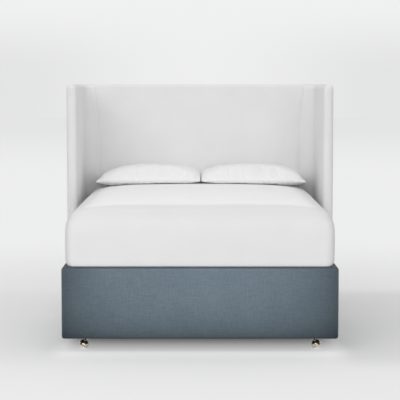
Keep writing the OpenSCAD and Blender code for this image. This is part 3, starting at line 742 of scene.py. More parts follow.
def lathe(profile, steps, material, name, axis_turn):
    """Closed round form from a profile of (radius, height) points, turned by axis_turn."""
    points, faces, rings = [], [], []
    for radius, height in profile:
        if radius == 0:
            rings.append([len(points)])
            points.append(axis_turn @ Vector((0, 0, height)))
        else:
            rings.append(list(range(len(points), len(points) + steps)))
            points += [axis_turn @ Vector((x, y, height)) for x, y in circle(radius, steps)]
    pairs = list(zip(rings, rings[1:]))
    if len(rings[0]) > 1:
        pairs.append((rings[-1], rings[0]))
    for low, up in pairs:
        for k in range(steps):
            n = (k + 1) % steps
            if len(low) == 1:
                faces.append((low[0], up[n], up[k]))
            elif len(up) == 1:
                faces.append((low[k], low[n], up[0]))
            else:
                faces.append((low[k], low[n], up[n], up[k]))
    return add_object(name, points, faces, material)


def join(pieces, name):
    """One mesh from several."""
    work = bmesh.new()
    for piece in pieces:
        work.from_mesh(piece.data)
    mesh = bpy.data.meshes.new(name)
    work.to_mesh(mesh)
    work.free()
    mesh.materials.append(pieces[0].data.materials[0])
    for piece in pieces:
        bpy.data.objects.remove(piece)
    return tidy(new_object(name, mesh), WELD)


# Stage


def build_floor():
    points = [(x, y, 0) for r in FLOOR_RINGS for x, y in circle(r, FLOOR_STEPS)]
    faces = ring_quads(FLOOR_STEPS, len(FLOOR_RINGS))
    faces.append(tuple(range(len(points) - FLOOR_STEPS, len(points))))
    floor = add_object("studio_floor", points, faces, floor_material(), smooth=False)


def floor_material():
    """Cameras and mirrors see a pale floor that glows a little and fades into the backdrop; the glow
    paints light into the bed's shadow under its front and a painted shadow beside it. Other light meets
    plain grey."""
    g = surface("pale studio floor")
    x, y, z = g.split(g.spot)
    seen = g.node("LightPath").outputs
    shown = g.math("MAXIMUM", seen["Is Camera Ray"], seen["Is Glossy Ray"])
    shown = g.math("MAXIMUM", shown, seen["Is Transmission Ray"])
    in_x = g.sub(BASE_HIGH[0], g.size(x))
    in_y = g.sub(-BASE_LOW[1], g.size(y))
    # Painted light under the bed's front, and painted shadow beside it where the glow drops to the right
    glow = g.math("MINIMUM", g.ramp(in_y, *OPEN_GLOW), g.ramp(in_y, *UNDER_GLOW))
    drop = g.mul(g.ramp(in_y, *SIDE_DROP_Y), g.ramp(x, *SIDE_DROP))
    beside = g.sub(g.sub(OPEN_GLOW[2], drop), glow)
    glow = g.add(glow, g.mul(beside, g.ramp(in_x, *BESIDE_X)))
    g.finish(
        g.mix(shown, FLOOR_BOUNCE, FLOOR_SEEN),
        roughness=g.ramp(g.noise(40.0, 3.0), 0.3, 0.7, 0.82, 0.9),
        specular_ior_level=0.1,
        emission_color=(1, 1, 1),
        emission_strength=g.mul(shown, glow),
    )
    length = g.node("VectorMath", {0: g.spot}, operation="LENGTH").outputs["Value"]
    distant = g.mix(g.ramp(length, *FAR_FADE), FAR_SEEN, BACKDROP_SIDE)
    far = g.node("Emission", {"Color": g.mix(shown, FAR_BOUNCE, distant), "Strength": 1.0}).outputs[0]
    blend = g.node("MixShader", {0: g.ramp(length, *FLOOR_FADE), 1: g.shader.outputs[0], 2: far})
    g.put(g.tree.nodes["Material Output"].inputs["Surface"], blend.outputs[0])
    return g.owner


def build_world():
    """Soft light from all round. The camera sees a pale backdrop. Metal mirrors it too, and the dark
    room that lies in front of the bed."""
    world = bpy.data.worlds.new("soft studio")
    bpy.context.scene.world = world
    g = Graph(world)
    x, y, z = g.split(g.coords["Generated"])
    sky = g.ramp(z, *SKY)
    backdrop = g.mix(g.ramp(g.size(x), *BACKDROP_SPREAD), BACKDROP, BACKDROP_SIDE)
    backdrop = g.mix(g.ramp(z, *BACKDROP_RISE), backdrop, BACKDROP_HIGH)
    mirrored = g.mix(g.ramp(y, *ROOM_TURN), DARK_ROOM, backdrop)
    seen = g.node("LightPath").outputs
    shown = g.math("MAXIMUM", seen["Is Camera Ray"], seen["Is Transmission Ray"])
    background = g.tree.nodes["Background"].inputs
    g.put(background["Color"], g.mix(shown, g.mix(seen["Is Glossy Ray"], sky, mirrored), backdrop))
    background["Strength"].default_value = 1.0


def build_lamp(name, place, target, size, power):
    data = bpy.data.lights.new(name, "AREA")
    set_all(data, shape="RECTANGLE", size=size[0], size_y=size[1], energy=power)
    lamp = new_object(name, data)
    lamp.location = place
    lamp.rotation_euler = (Vector(target) - Vector(place)).to_track_quat("-Z", "Y").to_euler()


def build_camera():
    data = bpy.data.cameras.new("camera")
    set_all(data, lens=CAMERA_LENS_MM, sensor_width=CAMERA_SENSOR_MM)
    data.dof.use_dof = False
    camera = new_object("camera", data)
    focal_px = CAMERA_LENS_MM / CAMERA_SENSOR_MM * FRAME_PX
    camera.location = CAMERA_PLACE
    camera.rotation_euler = (math.pi / 2 - math.atan(HORIZON_ABOVE_MIDDLE_PX / focal_px), 0, 0)
    bpy.context.scene.camera = camera


# Upholstered base


def build_base_half(half):
    """Tight cloth over a foam wrap: its faces stand a little prouder than its edges, and a
    sewn seam runs along every edge."""
    low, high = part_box(half + "_upholstery")
    middle, reach = (low + high) / 2, (high - low) / 2
    outer_y = low[1] if half == "foot" else high[1]

    def shape(p, out, on_edge):
        near = [abs(p[a] - middle[a]) / reach[a] for a in range(3)]
        flatness = sorted(near)[1]
        if abs(p[1] - outer_y) > high[1] - low[1] - BASE_EDGE_R / 2:
            return p + out * HALF_TOUCH * fade(flatness, *TOUCH_FADE)
        pull = BASE_PULL * fade(flatness, *PULL_FADE)
        wave = BASE_WAVE * (ripple(p, BASE_WAVE_L) - BASE_WAVE_SINK)
        seam = SEAM_DEPTH if on_edge and p[2] >= low[2] + BASE_EDGE_R else 0
        inward = min(high[0] - abs(p[0]), abs(p[1] - outer_y))
        roll = HEM_ROLL * (1 - fade(inward, 0, HEM_ROLL_W)) * (1 - fade(p[2] - low[2], 0, HEM_ROLL_H))
        return p - out * (pull - wave + seam) - Vector((0, 0, roll))

    cover = padded_box(half + "_base_cloth", low, high, BASE_EDGE_R, BASE_STEP, blue_cloth, shape)
    dress(cover, "base", (half + "_upholstery", half + "_padding"))


# Headboard


def squared_foot(p, low, high, r):
    """Turns the round lower edges of a padded box into the tight edges that it stands on."""
    middle, reach = (low + high) / 2, (high - low) / 2
    parts = [(abs(p[a] - middle[a]) - reach[a] + r) / r for a in range(3)]
    if p[2] > middle[2] or parts[2] <= 0:
        return p
    parts = [max(0.0, part) for part in parts]
    length = math.sqrt(sum(part ** 2 for part in parts))
    grow = length / sum(part ** FOOT_POWER for part in parts) ** (1 / FOOT_POWER)
    moved = Vector(p)
    for a in range(3):
        moved[a] += math.copysign(r * parts[a] * (grow - 1), p[a] - middle[a])
    return moved


def build_back_panel():
    """Its upper corners are round in front view, and a sewn seam runs along its rear edges."""
    low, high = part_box("back_cover")
    corner_x, corner_z = high[0] - WING_R, high[2] - WING_R

    def shape(p, out, on_edge):
        p = squared_foot(p, low, high, PANEL_EDGE_R)
        u, v = (abs(p[0]) - corner_x) / WING_R, (p[2] - corner_z) / WING_R
        if u > 0 and v > 0:
            x = math.copysign(corner_x + WING_R * u * math.sqrt(1 - v * v / 2), p[0])
            p = Vector((x, p[1], corner_z + WING_R * v * math.sqrt(1 - u * u / 2)))
        seam = SEAM_DEPTH * PANEL_SEAM_SHARE if on_edge and p[1] > (low[1] + high[1]) / 2 else 0
        return p - out * (PADDING_WAVE * (PADDING_SINK - ripple(p, PANEL_WAVE_L, PANEL_SEED)) + seam)

    panel = padded_box("back_panel_cloth", low, high, PANEL_EDGE_R, PANEL_STEP, white_cloth, shape)
    dress(panel, "base", ("back_cover", "back_padding"))


def seam_x(side, z):
    """Distance from the bed's middle to the seam of the hollow corner, which leans out at its top."""
    start, lean = LEAN[side]
    share = max(0.0, (z - start) / (LEAN_TOP_Z - start))
    return SEAM_X + lean * min(share, 1.0) ** 2


def wing_row(side, z, inset, cove, low, high):
    """Plan points of a wing at one height, from the seam at the rear round the nose and back."""
    wing_in, mid = high[0] - 2 * WING_R, high[0] - WING_R
    axis_y, rear = low[1] + WING_R, high[1]
    r = WING_R - inset
    end_y = rear - COVE_PROUD
    x = seam_x(side, z)
    big = wing_in - x
    grown = inset if cove else 0.0
    back = grown * COVE_TOP_PULL / WING_R
    inner = [(x - dx * LIP_R, end_y + dy * COVE_PROUD + back) for dx, dy in LIP_SHARES]
    for k, (along, up) in enumerate(arc(1, math.pi / 2, 0, COVE_STEPS)):
        reach = big + grown + (back - grown) * (1 - k / COVE_STEPS)
        inner.append((x + reach * along, end_y - big + reach * up))
    if not cove:
        inner = [(mid - r, y) for x, y in inner]
    outer = [(mid + r, min(y, rear)) for x, y in inner]
    start = end_y - big
    count = round((end_y - wing_in + SEAM_X - axis_y) / WING_STEP)
    for k in range(1, count + 1):
        y = start + (axis_y - start) * k / count
        inner.append((mid - r, y))
        outer.append((mid + r, y))
    for sine, drawn in quarter_turn(WING_ROUND_STEPS):
        inner.append((mid - r * (1 - drawn), axis_y - r * sine))
        outer.append((mid + r * (1 - drawn), axis_y - r * sine))
    return inner + outer[-2::-1]


def wing_levels(low, high):
    """Height and inset of each row of a wing from its foot up, and whether it has the hollow corner."""
    top_z, first = high[2] - WING_R, low[2] + WING_LOW_R
    levels = [(low[2], WING_LOW_R, False)]
    for sine, drawn in quarter_turn(WING_LOW_STEPS):
        levels.append((low[2] + WING_LOW_R * drawn, WING_LOW_R * (1 - sine), False))
    for start, end, cove in ((first, COVE_START_Z, False), (COVE_START_Z + COVE_LEDGE_H, top_z, True)):
        count = round((end - start) / WING_STEP)
        for k in range(0 if cove else 1, count + 1):
            levels.append((start + (end - start) * k / count, 0.0, cove))
    for sine, drawn in quarter_turn(WING_ROUND_STEPS, WING_TOP_ANGLE):
        levels.append((top_z + WING_R * sine, WING_R * drawn, True))
    return levels


def build_wing(side):
    """Rows of the same number of points, lofted, with a strip of quads over its foot and its top."""
    low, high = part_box("right_wing_cover")
    flip = OUTWARD[side]
    levels = wing_levels(low, high)
    rows = [wing_row(side, z, inset, cove, low, high) for z, inset, cove in levels]
    points = [(flip * x, y, level[0]) for level, row in zip(levels, rows) for x, y in row]
    width = len(rows[0])
    faces = ring_quads(width, len(rows))
    last, top = width - 1, (len(rows) - 1) * width
    for k in range(last // 2):
        faces.append((k, last - k, last - k - 1, k + 1))
        faces.append((top + k, top + k + 1, top + last - k - 1, top + last - k))
    wing = tidy(add_object(side + "_wing_cloth", points, faces, white_cloth), WELD_WING)

    def slack(p, out):
        away = fade(high[1] - p[1], *WING_SLACK_FADE)
        return p - out * PADDING_WAVE * away * (PADDING_SINK - ripple(p, WING_WAVE_L, WING_SEED * flip))

    reshape(wing, slack)
    dress(wing, "base", (side + "_wing_cover", side + "_wing_padding"))


# Mattress and duvet


duvet_low, duvet_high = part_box("duvet")
DUVET_HALF_W = duvet_high[0]
DUVET_HALF_L = (duvet_high[1] - duvet_low[1]) / 2
DUVET_MID_Y = (duvet_low[1] + duvet_high[1]) / 2


def duvet_height(s):
    """Height of the duvet at a share s of the way from its middle to its side."""
    steep = 1 - min(s, 1.0) ** DUVET_RISE_POWER
    rise = (duvet_high[2] - DUVET_SHOULDER_Z) * steep ** (1 / DUVET_ROUND_POWER)
    return DUVET_SHOULDER_Z + rise - DUVET_FALL * s * s * steep


def duvet_end(s):
    """Distance of a level line from the duvet's end, which slopes less than its sides."""
    far = (DUVET_HALF_L - DUVET_MIDDLE_L) / DUVET_END_R - DUVET_END_SLOPE
    return DUVET_END_R * (DUVET_END_SLOPE * (1 - s) + far * (1 - s) ** DUVET_END_POWER)


def duvet_surface_z(x):
    return duvet_height(abs(x) / DUVET_HALF_W)


def even_shares(step):
    """Shares from the duvet's side to its middle that lie evenly along its cross-section."""
    fine = np.linspace(0, 1, DUVET_SAMPLES)
    height = np.array([duvet_height(s) for s in fine])
    length = np.concatenate([[0], np.cumsum(np.hypot(np.diff(fine * DUVET_HALF_W), np.diff(height)))])
    ends = length[-1], length[-1] * DUVET_MIDDLE_SHARE
    return list(np.interp(np.linspace(*ends, round(length[-1] / step)), length, fine))


def level_ring(x, y, r, z):
    """Level line: a rectangle of half sizes x and y with round corners, from the head round."""
    r = min(r, x * ROUNDEST_SHARE, y * ROUNDEST_SHARE)
    quarter = [(k / DUVET_ACROSS * (x - r), y) for k in range(DUVET_ACROSS)]
    for k in range(DUVET_CORNER_STEPS):
        a = math.radians(90 * k / DUVET_CORNER_STEPS)
        quarter.append((x - r + r * math.sin(a), y - r + r * math.cos(a)))
    quarter += [(x, (y - r) * (1 - k / DUVET_ALONG)) for k in range(DUVET_ALONG)]
    right = quarter + [(x, 0.0)] + [(px, -py) for px, py in reversed(quarter)]
    left = [(-px, py) for px, py in reversed(right[1:-1])]
    return [Vector((px, DUVET_MID_Y + py, z)) for px, py in right + left]


def loft(name, rings, material):
    """Closed form through level rings, with a strip across its first and its last ring."""
    width = len(rings[0])
    last = (len(rings) - 1) * width
    faces = ring_quads(width, len(rings))
    for k in range(width // 2):
        strip = tuple(dict.fromkeys((k, k + 1, (width - k - 1) % width, (width - k) % width)))
        faces += [strip, tuple(last + v for v in reversed(strip))]
    return tidy(add_object(name, [p for ring in rings for p in ring], faces, material), WELD_CLOTH)


def build_mattress():
    """Ticking with a taped edge along its top and its bottom, lightly tufted."""
    low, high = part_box("mattress_ticking")
    x, y = high[0], (high[1] - low[1]) / 2
    rings = []
    for start, flip in ((low[2], 1), (high[2], -1)):
        half = []
        for share in MATTRESS_RING_SHARES:
            half.append(level_ring(x - share * x, y - share * x, MATTRESS_CORNER_R / 2, start))
        for sine, drawn in [(0, 0)] + quarter_turn(MATTRESS_EDGE_STEPS):
            d = MATTRESS_EDGE_R * (1 - sine)
            z = start + flip * MATTRESS_EDGE_R * drawn
            half.append(level_ring(x - d, y - d, MATTRESS_CORNER_R - d, z))
        rings += half if flip > 0 else half[::-1]
    body = loft("mattress_body", rings, ticking)

    def tufted(p, out):
        across = math.cos(math.pi * p.x / TUFT_PITCH)
        along = math.cos(math.pi * (p.y - DUVET_MID_Y) / TUFT_PITCH)
        return p - out * (TICKING_SINK + TUFT_DEPTH * across * along * abs(out.z))

    reshape(body, tufted)
    nodes = ("mattress_ticking", "mattress_core", "mattress_comfort_layer")
    dress(body, "mattress", nodes)
    drawn_in = MATTRESS_EDGE_R - math.sqrt(MATTRESS_EDGE_R ** 2 - (MATTRESS_EDGE_R - TAPE_UP) ** 2)
    d = drawn_in + TAPE_R * TAPE_SUNK_SHARE
    for name, z in (("lower", low[2] + TAPE_UP), ("upper", high[2] - TAPE_UP)):
        build_border_tape(name + "_border_tape", level_ring(x - d, y - d, MATTRESS_CORNER_R - d, z))


def build_border_tape(name, spots):
    curve = bpy.data.curves.new(name, "CURVE")
    curve.dimensions = "3D"
    curve.bevel_depth = TAPE_R
    spline = curve.splines.new("POLY")
    spline.points.add(len(spots) - 1)
    for point, spot in zip(spline.points, spots):
        point.co = (*spot, 1)
    spline.use_cyclic_u = True
    curve.materials.append(border_tape)
    dress(new_object(name, curve), "mattress")


def build_duvet():
    """A lofty cover, smooth on top, drawn in a little at the foot of its sides and tucked under
    the mattress."""
    low_z, top_z = duvet_low[2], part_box("mattress_ticking")[1][2]
    rings = []

    def add(x_in, y_in, r, z):
        rings.append(level_ring(DUVET_HALF_W - x_in, DUVET_HALF_L - y_in, r, z))

    for s in reversed(even_shares(DUVET_STEP)):
        end = duvet_end(s)
        add(DUVET_HALF_W * (1 - s), end, DUVET_CORNER_R + end / 2, duvet_height(s))
    wall = DUVET_SHOULDER_Z - low_z - DUVET_HEM_H
    for k in range(1, DUVET_WALL_ROWS + 1):
        add(0, 0, DUVET_CORNER_R, DUVET_SHOULDER_Z - wall * k / DUVET_WALL_ROWS)
    hem = quarter_turn(DUVET_HEM_STEPS)
    for sine, drawn in hem:
        d = DUVET_HEM_IN * drawn
        add(d, d * DUVET_HEM_END_SHARE, DUVET_CORNER_R - d, low_z + DUVET_HEM_H * (1 - sine))
    add(DUVET_TUCK / 2, DUVET_TUCK / 2, DUVET_CORNER_R / 2, low_z)
    for z in (low_z, low_z + DUVET_TUCK_T):
        add(DUVET_TUCK, DUVET_TUCK, DUVET_TUCK_CORNER_R, z)
    inner = DUVET_CORNER_R - DUVET_SIDE_T
    for sine, drawn in reversed(hem):
        d = DUVET_HEM_IN * drawn
        z = low_z + DUVET_TUCK_T + (DUVET_HEM_H - DUVET_TUCK_T) * (1 - sine)
        add(DUVET_SIDE_T + d, DUVET_SIDE_T + d * DUVET_HEM_END_SHARE, inner - d, z)
    for z in (low_z + DUVET_HEM_H + DUVET_TUCK_T, DUVET_SHOULDER_Z):
        add(DUVET_SIDE_T, DUVET_SIDE_T, inner, z)
    for d, under in DUVET_LINING_ROUND:
        add(DUVET_SIDE_T + d, DUVET_SIDE_T + d, inner, top_z - under)
    duvet = loft("duvet_cover", rings, duvet_percale)
    soften_duvet(duvet)
    dress(duvet, "mattress", ("duvet",))


def soften_duvet(duvet):
    """Broad slack in the top, and small drawn folds where the sides are tucked in."""
    middle = Vector((0, DUVET_MID_Y, DUVET_SHOULDER_Z))

    def slack(p, out):
        rise = p.z - duvet_low[2]
        if rise < NEAR or out.dot(p - middle) < 0:
            return p
        broad = ripple((p.x * DUVET_SLACK_STRETCH, p.y, p.z), DUVET_SLACK_L, DUVET_SEEDS[0])
        fine = ripple((p.x, p.y * DUVET_FINE_STRETCH, p.z), DUVET_FINE_L, DUVET_SEEDS[1])
        sunk = DUVET_SLACK * (DUVET_SLACK_SINK - broad) * max(out.z, DUVET_SIDE_SLACK_SHARE)
        sunk += DUVET_FINE_SLACK * (DUVET_FINE_SINK - fine)
        along = p.x if abs(out.y) > abs(out.x) else p.y
        turn = along * DUVET_FOLD_TURNS + DUVET_WANDER * ripple((along, 0, 0), DUVET_WANDER_L)
        fold = DUVET_FOLD * (1 - fade(rise, 0, DUVET_FOLD_TOP)) * (1 + math.sin(turn))
        return p - out * (max(0.0, sunk) + fold) * fade(rise, 0, DUVET_HEM_FADE)

    reshape(duvet, slack)


# Pillows


def pillow_heights(side, u, v):
    """Heights over the seat of the seam and of the top and the under face at shares u and v.
    The end at the bed's side thins out to a tip, and the end at its middle stays blunt."""
    t = abs(u)
    across = max(0.0, 1 - abs(v) ** PILLOW_V[0]) ** PILLOW_V[1]
    inner = max(0.0, 1 - t ** PILLOW_U[0]) ** PILLOW_U[1]
    low_edge = PILLOW_SEAM_RISE + (PILLOW_FRONT_RISE - PILLOW_SEAM_RISE) * v * v
    if (u < 0) == (side == "left"):
        full = max(0.0, 1 - t ** PILLOW_OUTER_POWER[side]) ** PILLOW_TIP_POWER
        lifted = max(0.0, 1 - t ** PILLOW_TIP_ROUND) ** PILLOW_TIP_POWER
        seam = PILLOW_TIP_RISE + (low_edge - PILLOW_TIP_RISE) * lifted
        rise = (PILLOW_CROWN + PILLOW_SEAM_RISE) * full - seam
    else:
        seam = low_edge
        rise = PILLOW_CROWN * inner + (PILLOW_SEAM_RISE - low_edge) * (1 - t ** PILLOW_BLUNT_ROUND)
    top = seam + max(0.0, rise) * across
    under = seam - PILLOW_SEAM_RISE * PILLOW_SINK_SHARE * inner * across
    return seam, top, under


def pillow_plan(side, u, v, cx, cy, a, b):
    """Plan place of the shares u and v: the long sides and the outer end are drawn in."""
    outer = (u < 0) == (side == "left")
    x = cx + a * u * (1 - (PILLOW_END_DRAWN * (1 - v * v) if outer else 0.0))
    return x, cy + b * v * (1 - PILLOW_SIDE_DRAWN * (1 - u * u))


def build_pillow(side):
    """A plump case over the duvet, with gathers along its seam and a soft hollow on top."""
    low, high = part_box(side + "_pillow_case")
    cx, cy = (low[0] + high[0]) / 2, (low[1] + high[1]) / 2
    a, b = (high[0] - low[0]) / 2 - PILLOW_SHY, (high[1] - low[1]) / 2 - PILLOW_SHY
    seat = duvet_high[2] + PILLOW_REST_GAP
    keys, quads = box_grid([PILLOW_COLS + 1, PILLOW_ROWS + 1, 2])

    def rest(x):
        return duvet_surface_z(x) + PILLOW_REST_GAP

    def spot(key):
        i, j, k = key
        u = math.sin(math.pi / 2 * (2 * i / PILLOW_COLS - 1))
        v = math.sin(math.pi / 2 * (2 * j / PILLOW_ROWS - 1))
        x, y = pillow_plan(side, u, v, cx, cy, a, b)
        seam, top, under = pillow_heights(side, u, v)
        if k:
            return Vector((x, y, seat + top + PILLOW_RIM_T / 2))
        return Vector((x, y, max(seat + under - PILLOW_RIM_T / 2, rest(x))))

    points = [spot(key) for key in keys]
    pillow = tidy(add_object(side + "_pillow", points, quads, percale), WELD_CLOTH)
    seed = PILLOW_SEEDS[side]

    def slack(p, out):
        u, v = (p.x - cx) / a, (p.y - cy) / b
        edge = fade(max(abs(u), abs(v)), *PILLOW_EDGE_FADE)
        along = p.y if abs(u) > abs(v) else p.x
        wander = PILLOW_WANDER * ripple(p, PILLOW_WANDER_L, seed)
        gather = 1 + math.sin(along * PILLOW_GATHER_TURNS + wander)
        uneven = 0.5 + 0.5 * ripple(p, PILLOW_GATHER_L, seed)
        hollow = PILLOW_HOLLOW * (0.5 - ripple(p, PILLOW_HOLLOW_L, seed)) * (1 - edge)
        moved = p - out * (hollow + PILLOW_GATHER * edge * gather * uneven)
        moved.z = max(moved.z, rest(moved.x))
        return moved

    reshape(pillow, slack)

    def kept(p):
        p.x = min(max(p.x, low[0] + PILLOW_SIDE_ROOM), high[0] - PILLOW_SIDE_ROOM)
        p.y = min(max(p.y, low[1] - PILLOW_FRONT_ROOM), high[1] - PILLOW_BACK_ROOM)
        p.z = max(p.z, rest(p.x))
        return p

    def held(p):
        u, v = (p.x - cx) / a, (p.y - cy) / b
        rim = 1 - PILLOW_SIDE_DRAWN * max(0.0, 1 - u * u)
        return max(abs(u), abs(v) / rim) > PILLOW_HELD_SHARE

    swell(pillow, PILLOW_VOXEL, PILLOW_CAP, held, kept)
    dress(pillow, side + "_pillow", (side + "_pillow_case", side + "_pillow_insert"))
    build_pillow_seam(side, cx, cy, a, b, seat)


def build_pillow_seam(side, cx, cy, a, b, seat):
    """Sewn edge of the pillowcase, a narrow flat ridge all round its rim."""
    loop = []
    for k in range(4 * RIDGE_STEPS):
        at, share = divmod(k, RIDGE_STEPS)
        t = math.sin(math.pi / 2 * (2 * share / RIDGE_STEPS - 1))
        loop.append([(t, -1), (1, t), (-t, 1), (-1, -t)][at])
    points, faces = [], []
    for u, v in loop:
        x, y = pillow_plan(side, u, v, cx, cy, a, b)
        seam = max(seat + pillow_heights(side, u, v)[0], duvet_surface_z(x) + PILLOW_REST_GAP + RIDGE_T)
        out = Vector((u if abs(u) == 1 else 0, v if abs(v) == 1 else 0, 0)).normalized()
        middle = (u < 0) != (side == "left") and abs(u) == 1
        wide = RIDGE_W * (RIDGE_MIDDLE_SHARE if middle else 1.0)
        edge = RIDGE_EDGE_SHARE
        for step, lift in ((-RIDGE_ROOT, -1), (wide, -edge), (wide, edge), (-RIDGE_ROOT, 1)):
            points.append(Vector((x, y, seam + lift * RIDGE_T)) + out * step)
    count = len(loop)
    for k in range(count):
        n = (k + 1) % count
        for c in range(4):
            d = (c + 1) % 4
            faces.append((4 * k + c, 4 * n + c, 4 * n + d, 4 * k + d))
    ridge = tidy(add_object(side + "_pillow_seam", points, faces, percale), WELD_CLOTH)
    dress(ridge, side + "_pillow")


def swell(obj, voxel, cap, held, kept):
    """Fills the form with air by a cloth simulation. Points that held names stay where they are,
    no other moves more than cap, and kept puts each one back in the room that it has."""
    remesh = obj.modifiers.new("remesh", "REMESH")
    set_all(remesh, mode="VOXEL", voxel_size=voxel, use_smooth_shade=True)
    apply_modifiers(obj)
    start = [v.co.copy() for v in obj.data.vertices]
    pins = obj.vertex_groups.new(name="held")
    pins.add([k for k, p in enumerate(start) if held(p)], 1.0, "REPLACE")
    cloth = obj.modifiers.new("cloth", "CLOTH")
    set_all(cloth.settings, vertex_group_mass="held", **CLOTH)
    cloth.settings.effector_weights.gravity = 0
    cloth.point_cache.frame_end = CLOTH_FRAMES
    scene = bpy.context.scene
    for number in range(1, CLOTH_FRAMES + 1):
        scene.frame_set(number)
    apply_modifiers(obj)
    scene.frame_set(1)
    obj.vertex_groups.clear()
    for vertex, p in zip(obj.data.vertices, start):
        step = vertex.co - p
        if step.length > cap:
            step *= cap / step.length
        vertex.co = kept(p + step)
    fine = obj.modifiers.new("fine", "SUBSURF")
    fine.levels = 1
    apply_modifiers(obj)
    for vertex in obj.data.vertices:
        vertex.co = kept(vertex.co.copy())
    set_smooth(obj.data)


# Castors


def build_ball(tag, body, middle, ball_r, face):
    """Polished ball with a flat seat at each end of its bore."""
    lie_down = Matrix.Translation(middle) @ Matrix.Rotation(math.radians(-90), 4, "X")
    rim = math.pi / 2 - math.asin(BALL_FLAT_R / ball_r)
    wide, deep = BALL_CHAMFER
    profile = [(AXLE_R, -face + deep), (AXLE_R + wide, -face)]
    profile += arc(ball_r, -rim, rim, BALL_ARC)
    profile += [(AXLE_R + wide, face), (AXLE_R, face - deep)]
    ball = tidy(lathe(profile, BALL_STEPS, brass, tag + "_wheel", lie_down), WELD)
    dress(ball, body, (tag + "_ball",))


def make_hood(name, middle, tilt_angle):
    """Thin bowl over the ball, with a beaded rim, tilted about the axis that runs front to back."""
    tilt = Matrix.Translation(middle) @ Matrix.Rotation(tilt_angle, 4, "Y")
    low = -math.asin(HOOD_SKIRT / HOOD_R)
    rim_r = (HOOD_R + HOOD_IN_R) / 2 * math.cos(low)
    rim_z = -HOOD_SKIRT - LIP_BEAD_DROP
    profile = [(0, HOOD_R)] + arc(HOOD_R, math.pi / 2, low, HOOD_ARC)[1:]
    profile += [(rim_r + x, rim_z + z) for x, z in arc(LIP_BEAD_R, BEAD_FROM, BEAD_TO, BEAD_ARC)]
    profile += arc(HOOD_IN_R, low, math.pi / 2, HOOD_IN_ARC)[1:-1] + [(0, HOOD_IN_R)]
    return lathe(profile, BALL_STEPS, housing_brass_painted_dark, name, tilt)


def make_neck(name, middle, stem_x, collar_top, stem_top):
    """Neck, collar and stem. The neck's foot follows the hood's shell."""
    start, collar_low = middle[2] + NECK_START, collar_top - COLLAR_H
    profile = [
        (0, start),
        (NECK_R, start),
        (NECK_R, collar_low - NECK_FILLET_H),
        (NECK_R + COLLAR_FILLET, collar_low - COLLAR_FILLET),
        (COLLAR_R - COLLAR_ROUND, collar_low),
        (COLLAR_R, collar_low + COLLAR_ROUND),
        (COLLAR_R, collar_top - COLLAR_FILLET),
        (COLLAR_R - COLLAR_ROUND, collar_top),
        (STEM_R, collar_top),
        (STEM_R, stem_top - STEM_CHAMFER),
        (STEM_R - STEM_CHAMFER, stem_top),
        (0, stem_top),
    ]
    neck = lathe(profile, NECK_STEPS, housing_brass_painted_dark, name, Matrix.Translation((stem_x, middle[1], 0)))
    shell_r = (HOOD_R + HOOD_IN_R) / 2
    for vertex in neck.data.vertices:
        if vertex.co.z < start + NEAR:
            flat_r = (vertex.co.x - middle[0]) ** 2 + (vertex.co.y - middle[1]) ** 2
            vertex.co.z = middle[2] + math.sqrt(max(0.0, shell_r ** 2 - flat_r))
    return neck


def make_axle(tag, middle, face):
    """Riveted heads on both sides of the hood and the pin between them."""
    end_y = HOOD_R - AXLE_SEAT
    head_r, pin_r = AXLE_HEAD_R, AXLE_R - AXLE_PLAY
    low, wide, top = AXLE_HEAD_T
    rivet = [
        (0, end_y - AXLE_HEAD_SUNK), (head_r, end_y - AXLE_HEAD_SUNK), (head_r, end_y + low),
        (head_r - AXLE_HEAD_CHAMFER, end_y + wide), (0, end_y + top),
    ]
    pin = [(0, -face), (pin_r, -face), (pin_r, end_y), (0, end_y)]
    pieces = []
    for end in (-1, 1):
        turn = Matrix.Translation(middle) @ Matrix.Rotation(math.radians(-90 * end), 4, "X")
        pieces.append(lathe(rivet, PIN_STEPS, housing_brass_painted_dark, f"{tag}_rivet_{end}", turn))
    return pieces + [lathe(pin, PIN_STEPS, housing_brass_painted_dark, tag + "_pin", turn)]


def build_castor(number, side):
    out = OUTWARD[side]
    tag = f"castor_{number}_{side}"
    low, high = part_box(tag + "_ball")
    middle, ball_r = (low + high) / 2, (high[2] - low[2]) / 2
    face = math.sqrt(ball_r ** 2 - BALL_FLAT_R ** 2)
    stem_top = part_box(tag + "_hood")[1][2]
    collar_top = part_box("foot_dust_cover")[1][2]
    build_ball(tag, f"ball_{number}_{side}", middle, ball_r, face)
    hood = make_hood(tag + "_cap_hood", middle, math.radians(-out * HOOD_TILT))
    neck = make_neck(tag + "_neck", middle, middle[0] - out * TRAIL, collar_top, stem_top)
    cap = join([hood, neck, *make_axle(tag, middle, face)], tag + "_housing")
    dress(cap, f"castor_{number}_{side}", (tag + "_hood",))


# Linings and their staples


def cloth_sheet(name, u_span, v_span, place, thick, material):
    """Flat cloth as a closed thin form. place turns (u, v, depth) into a point."""
    us = np.linspace(*u_span, max(2, round((u_span[1] - u_span[0]) / SHEET_STEP)) + 1)
    vs = np.linspace(*v_span, max(2, round((v_span[1] - v_span[0]) / SHEET_STEP)) + 1)
    keys, quads = box_grid([len(us), len(vs), 2])
    points = [place(us[i], vs[j], thick * k) for i, j, k in keys]
    return tidy(add_object(name, points, quads, material), WELD_SHEET)


def staple_spots(u_span, v_span):
    """Places of staples all round a sheet, and whether each stands across."""
    (u0, u1), (v0, v1) = [(low + STAPLE_INSET, high - STAPLE_INSET) for low, high in (u_span, v_span)]
    columns, rows = round((u1 - u0) / STAPLE_PITCH), round((v1 - v0) / STAPLE_PITCH)
    spots = []
    for k in range(columns + 1):
        u = u0 + (u1 - u0) * k / columns
        spots += [(u, v0, False), (u, v1, False)]
    for k in range(1, rows):
        v = v0 + (v1 - v0) * k / rows
        spots += [(u0, v, True), (u1, v, True)]
    return spots


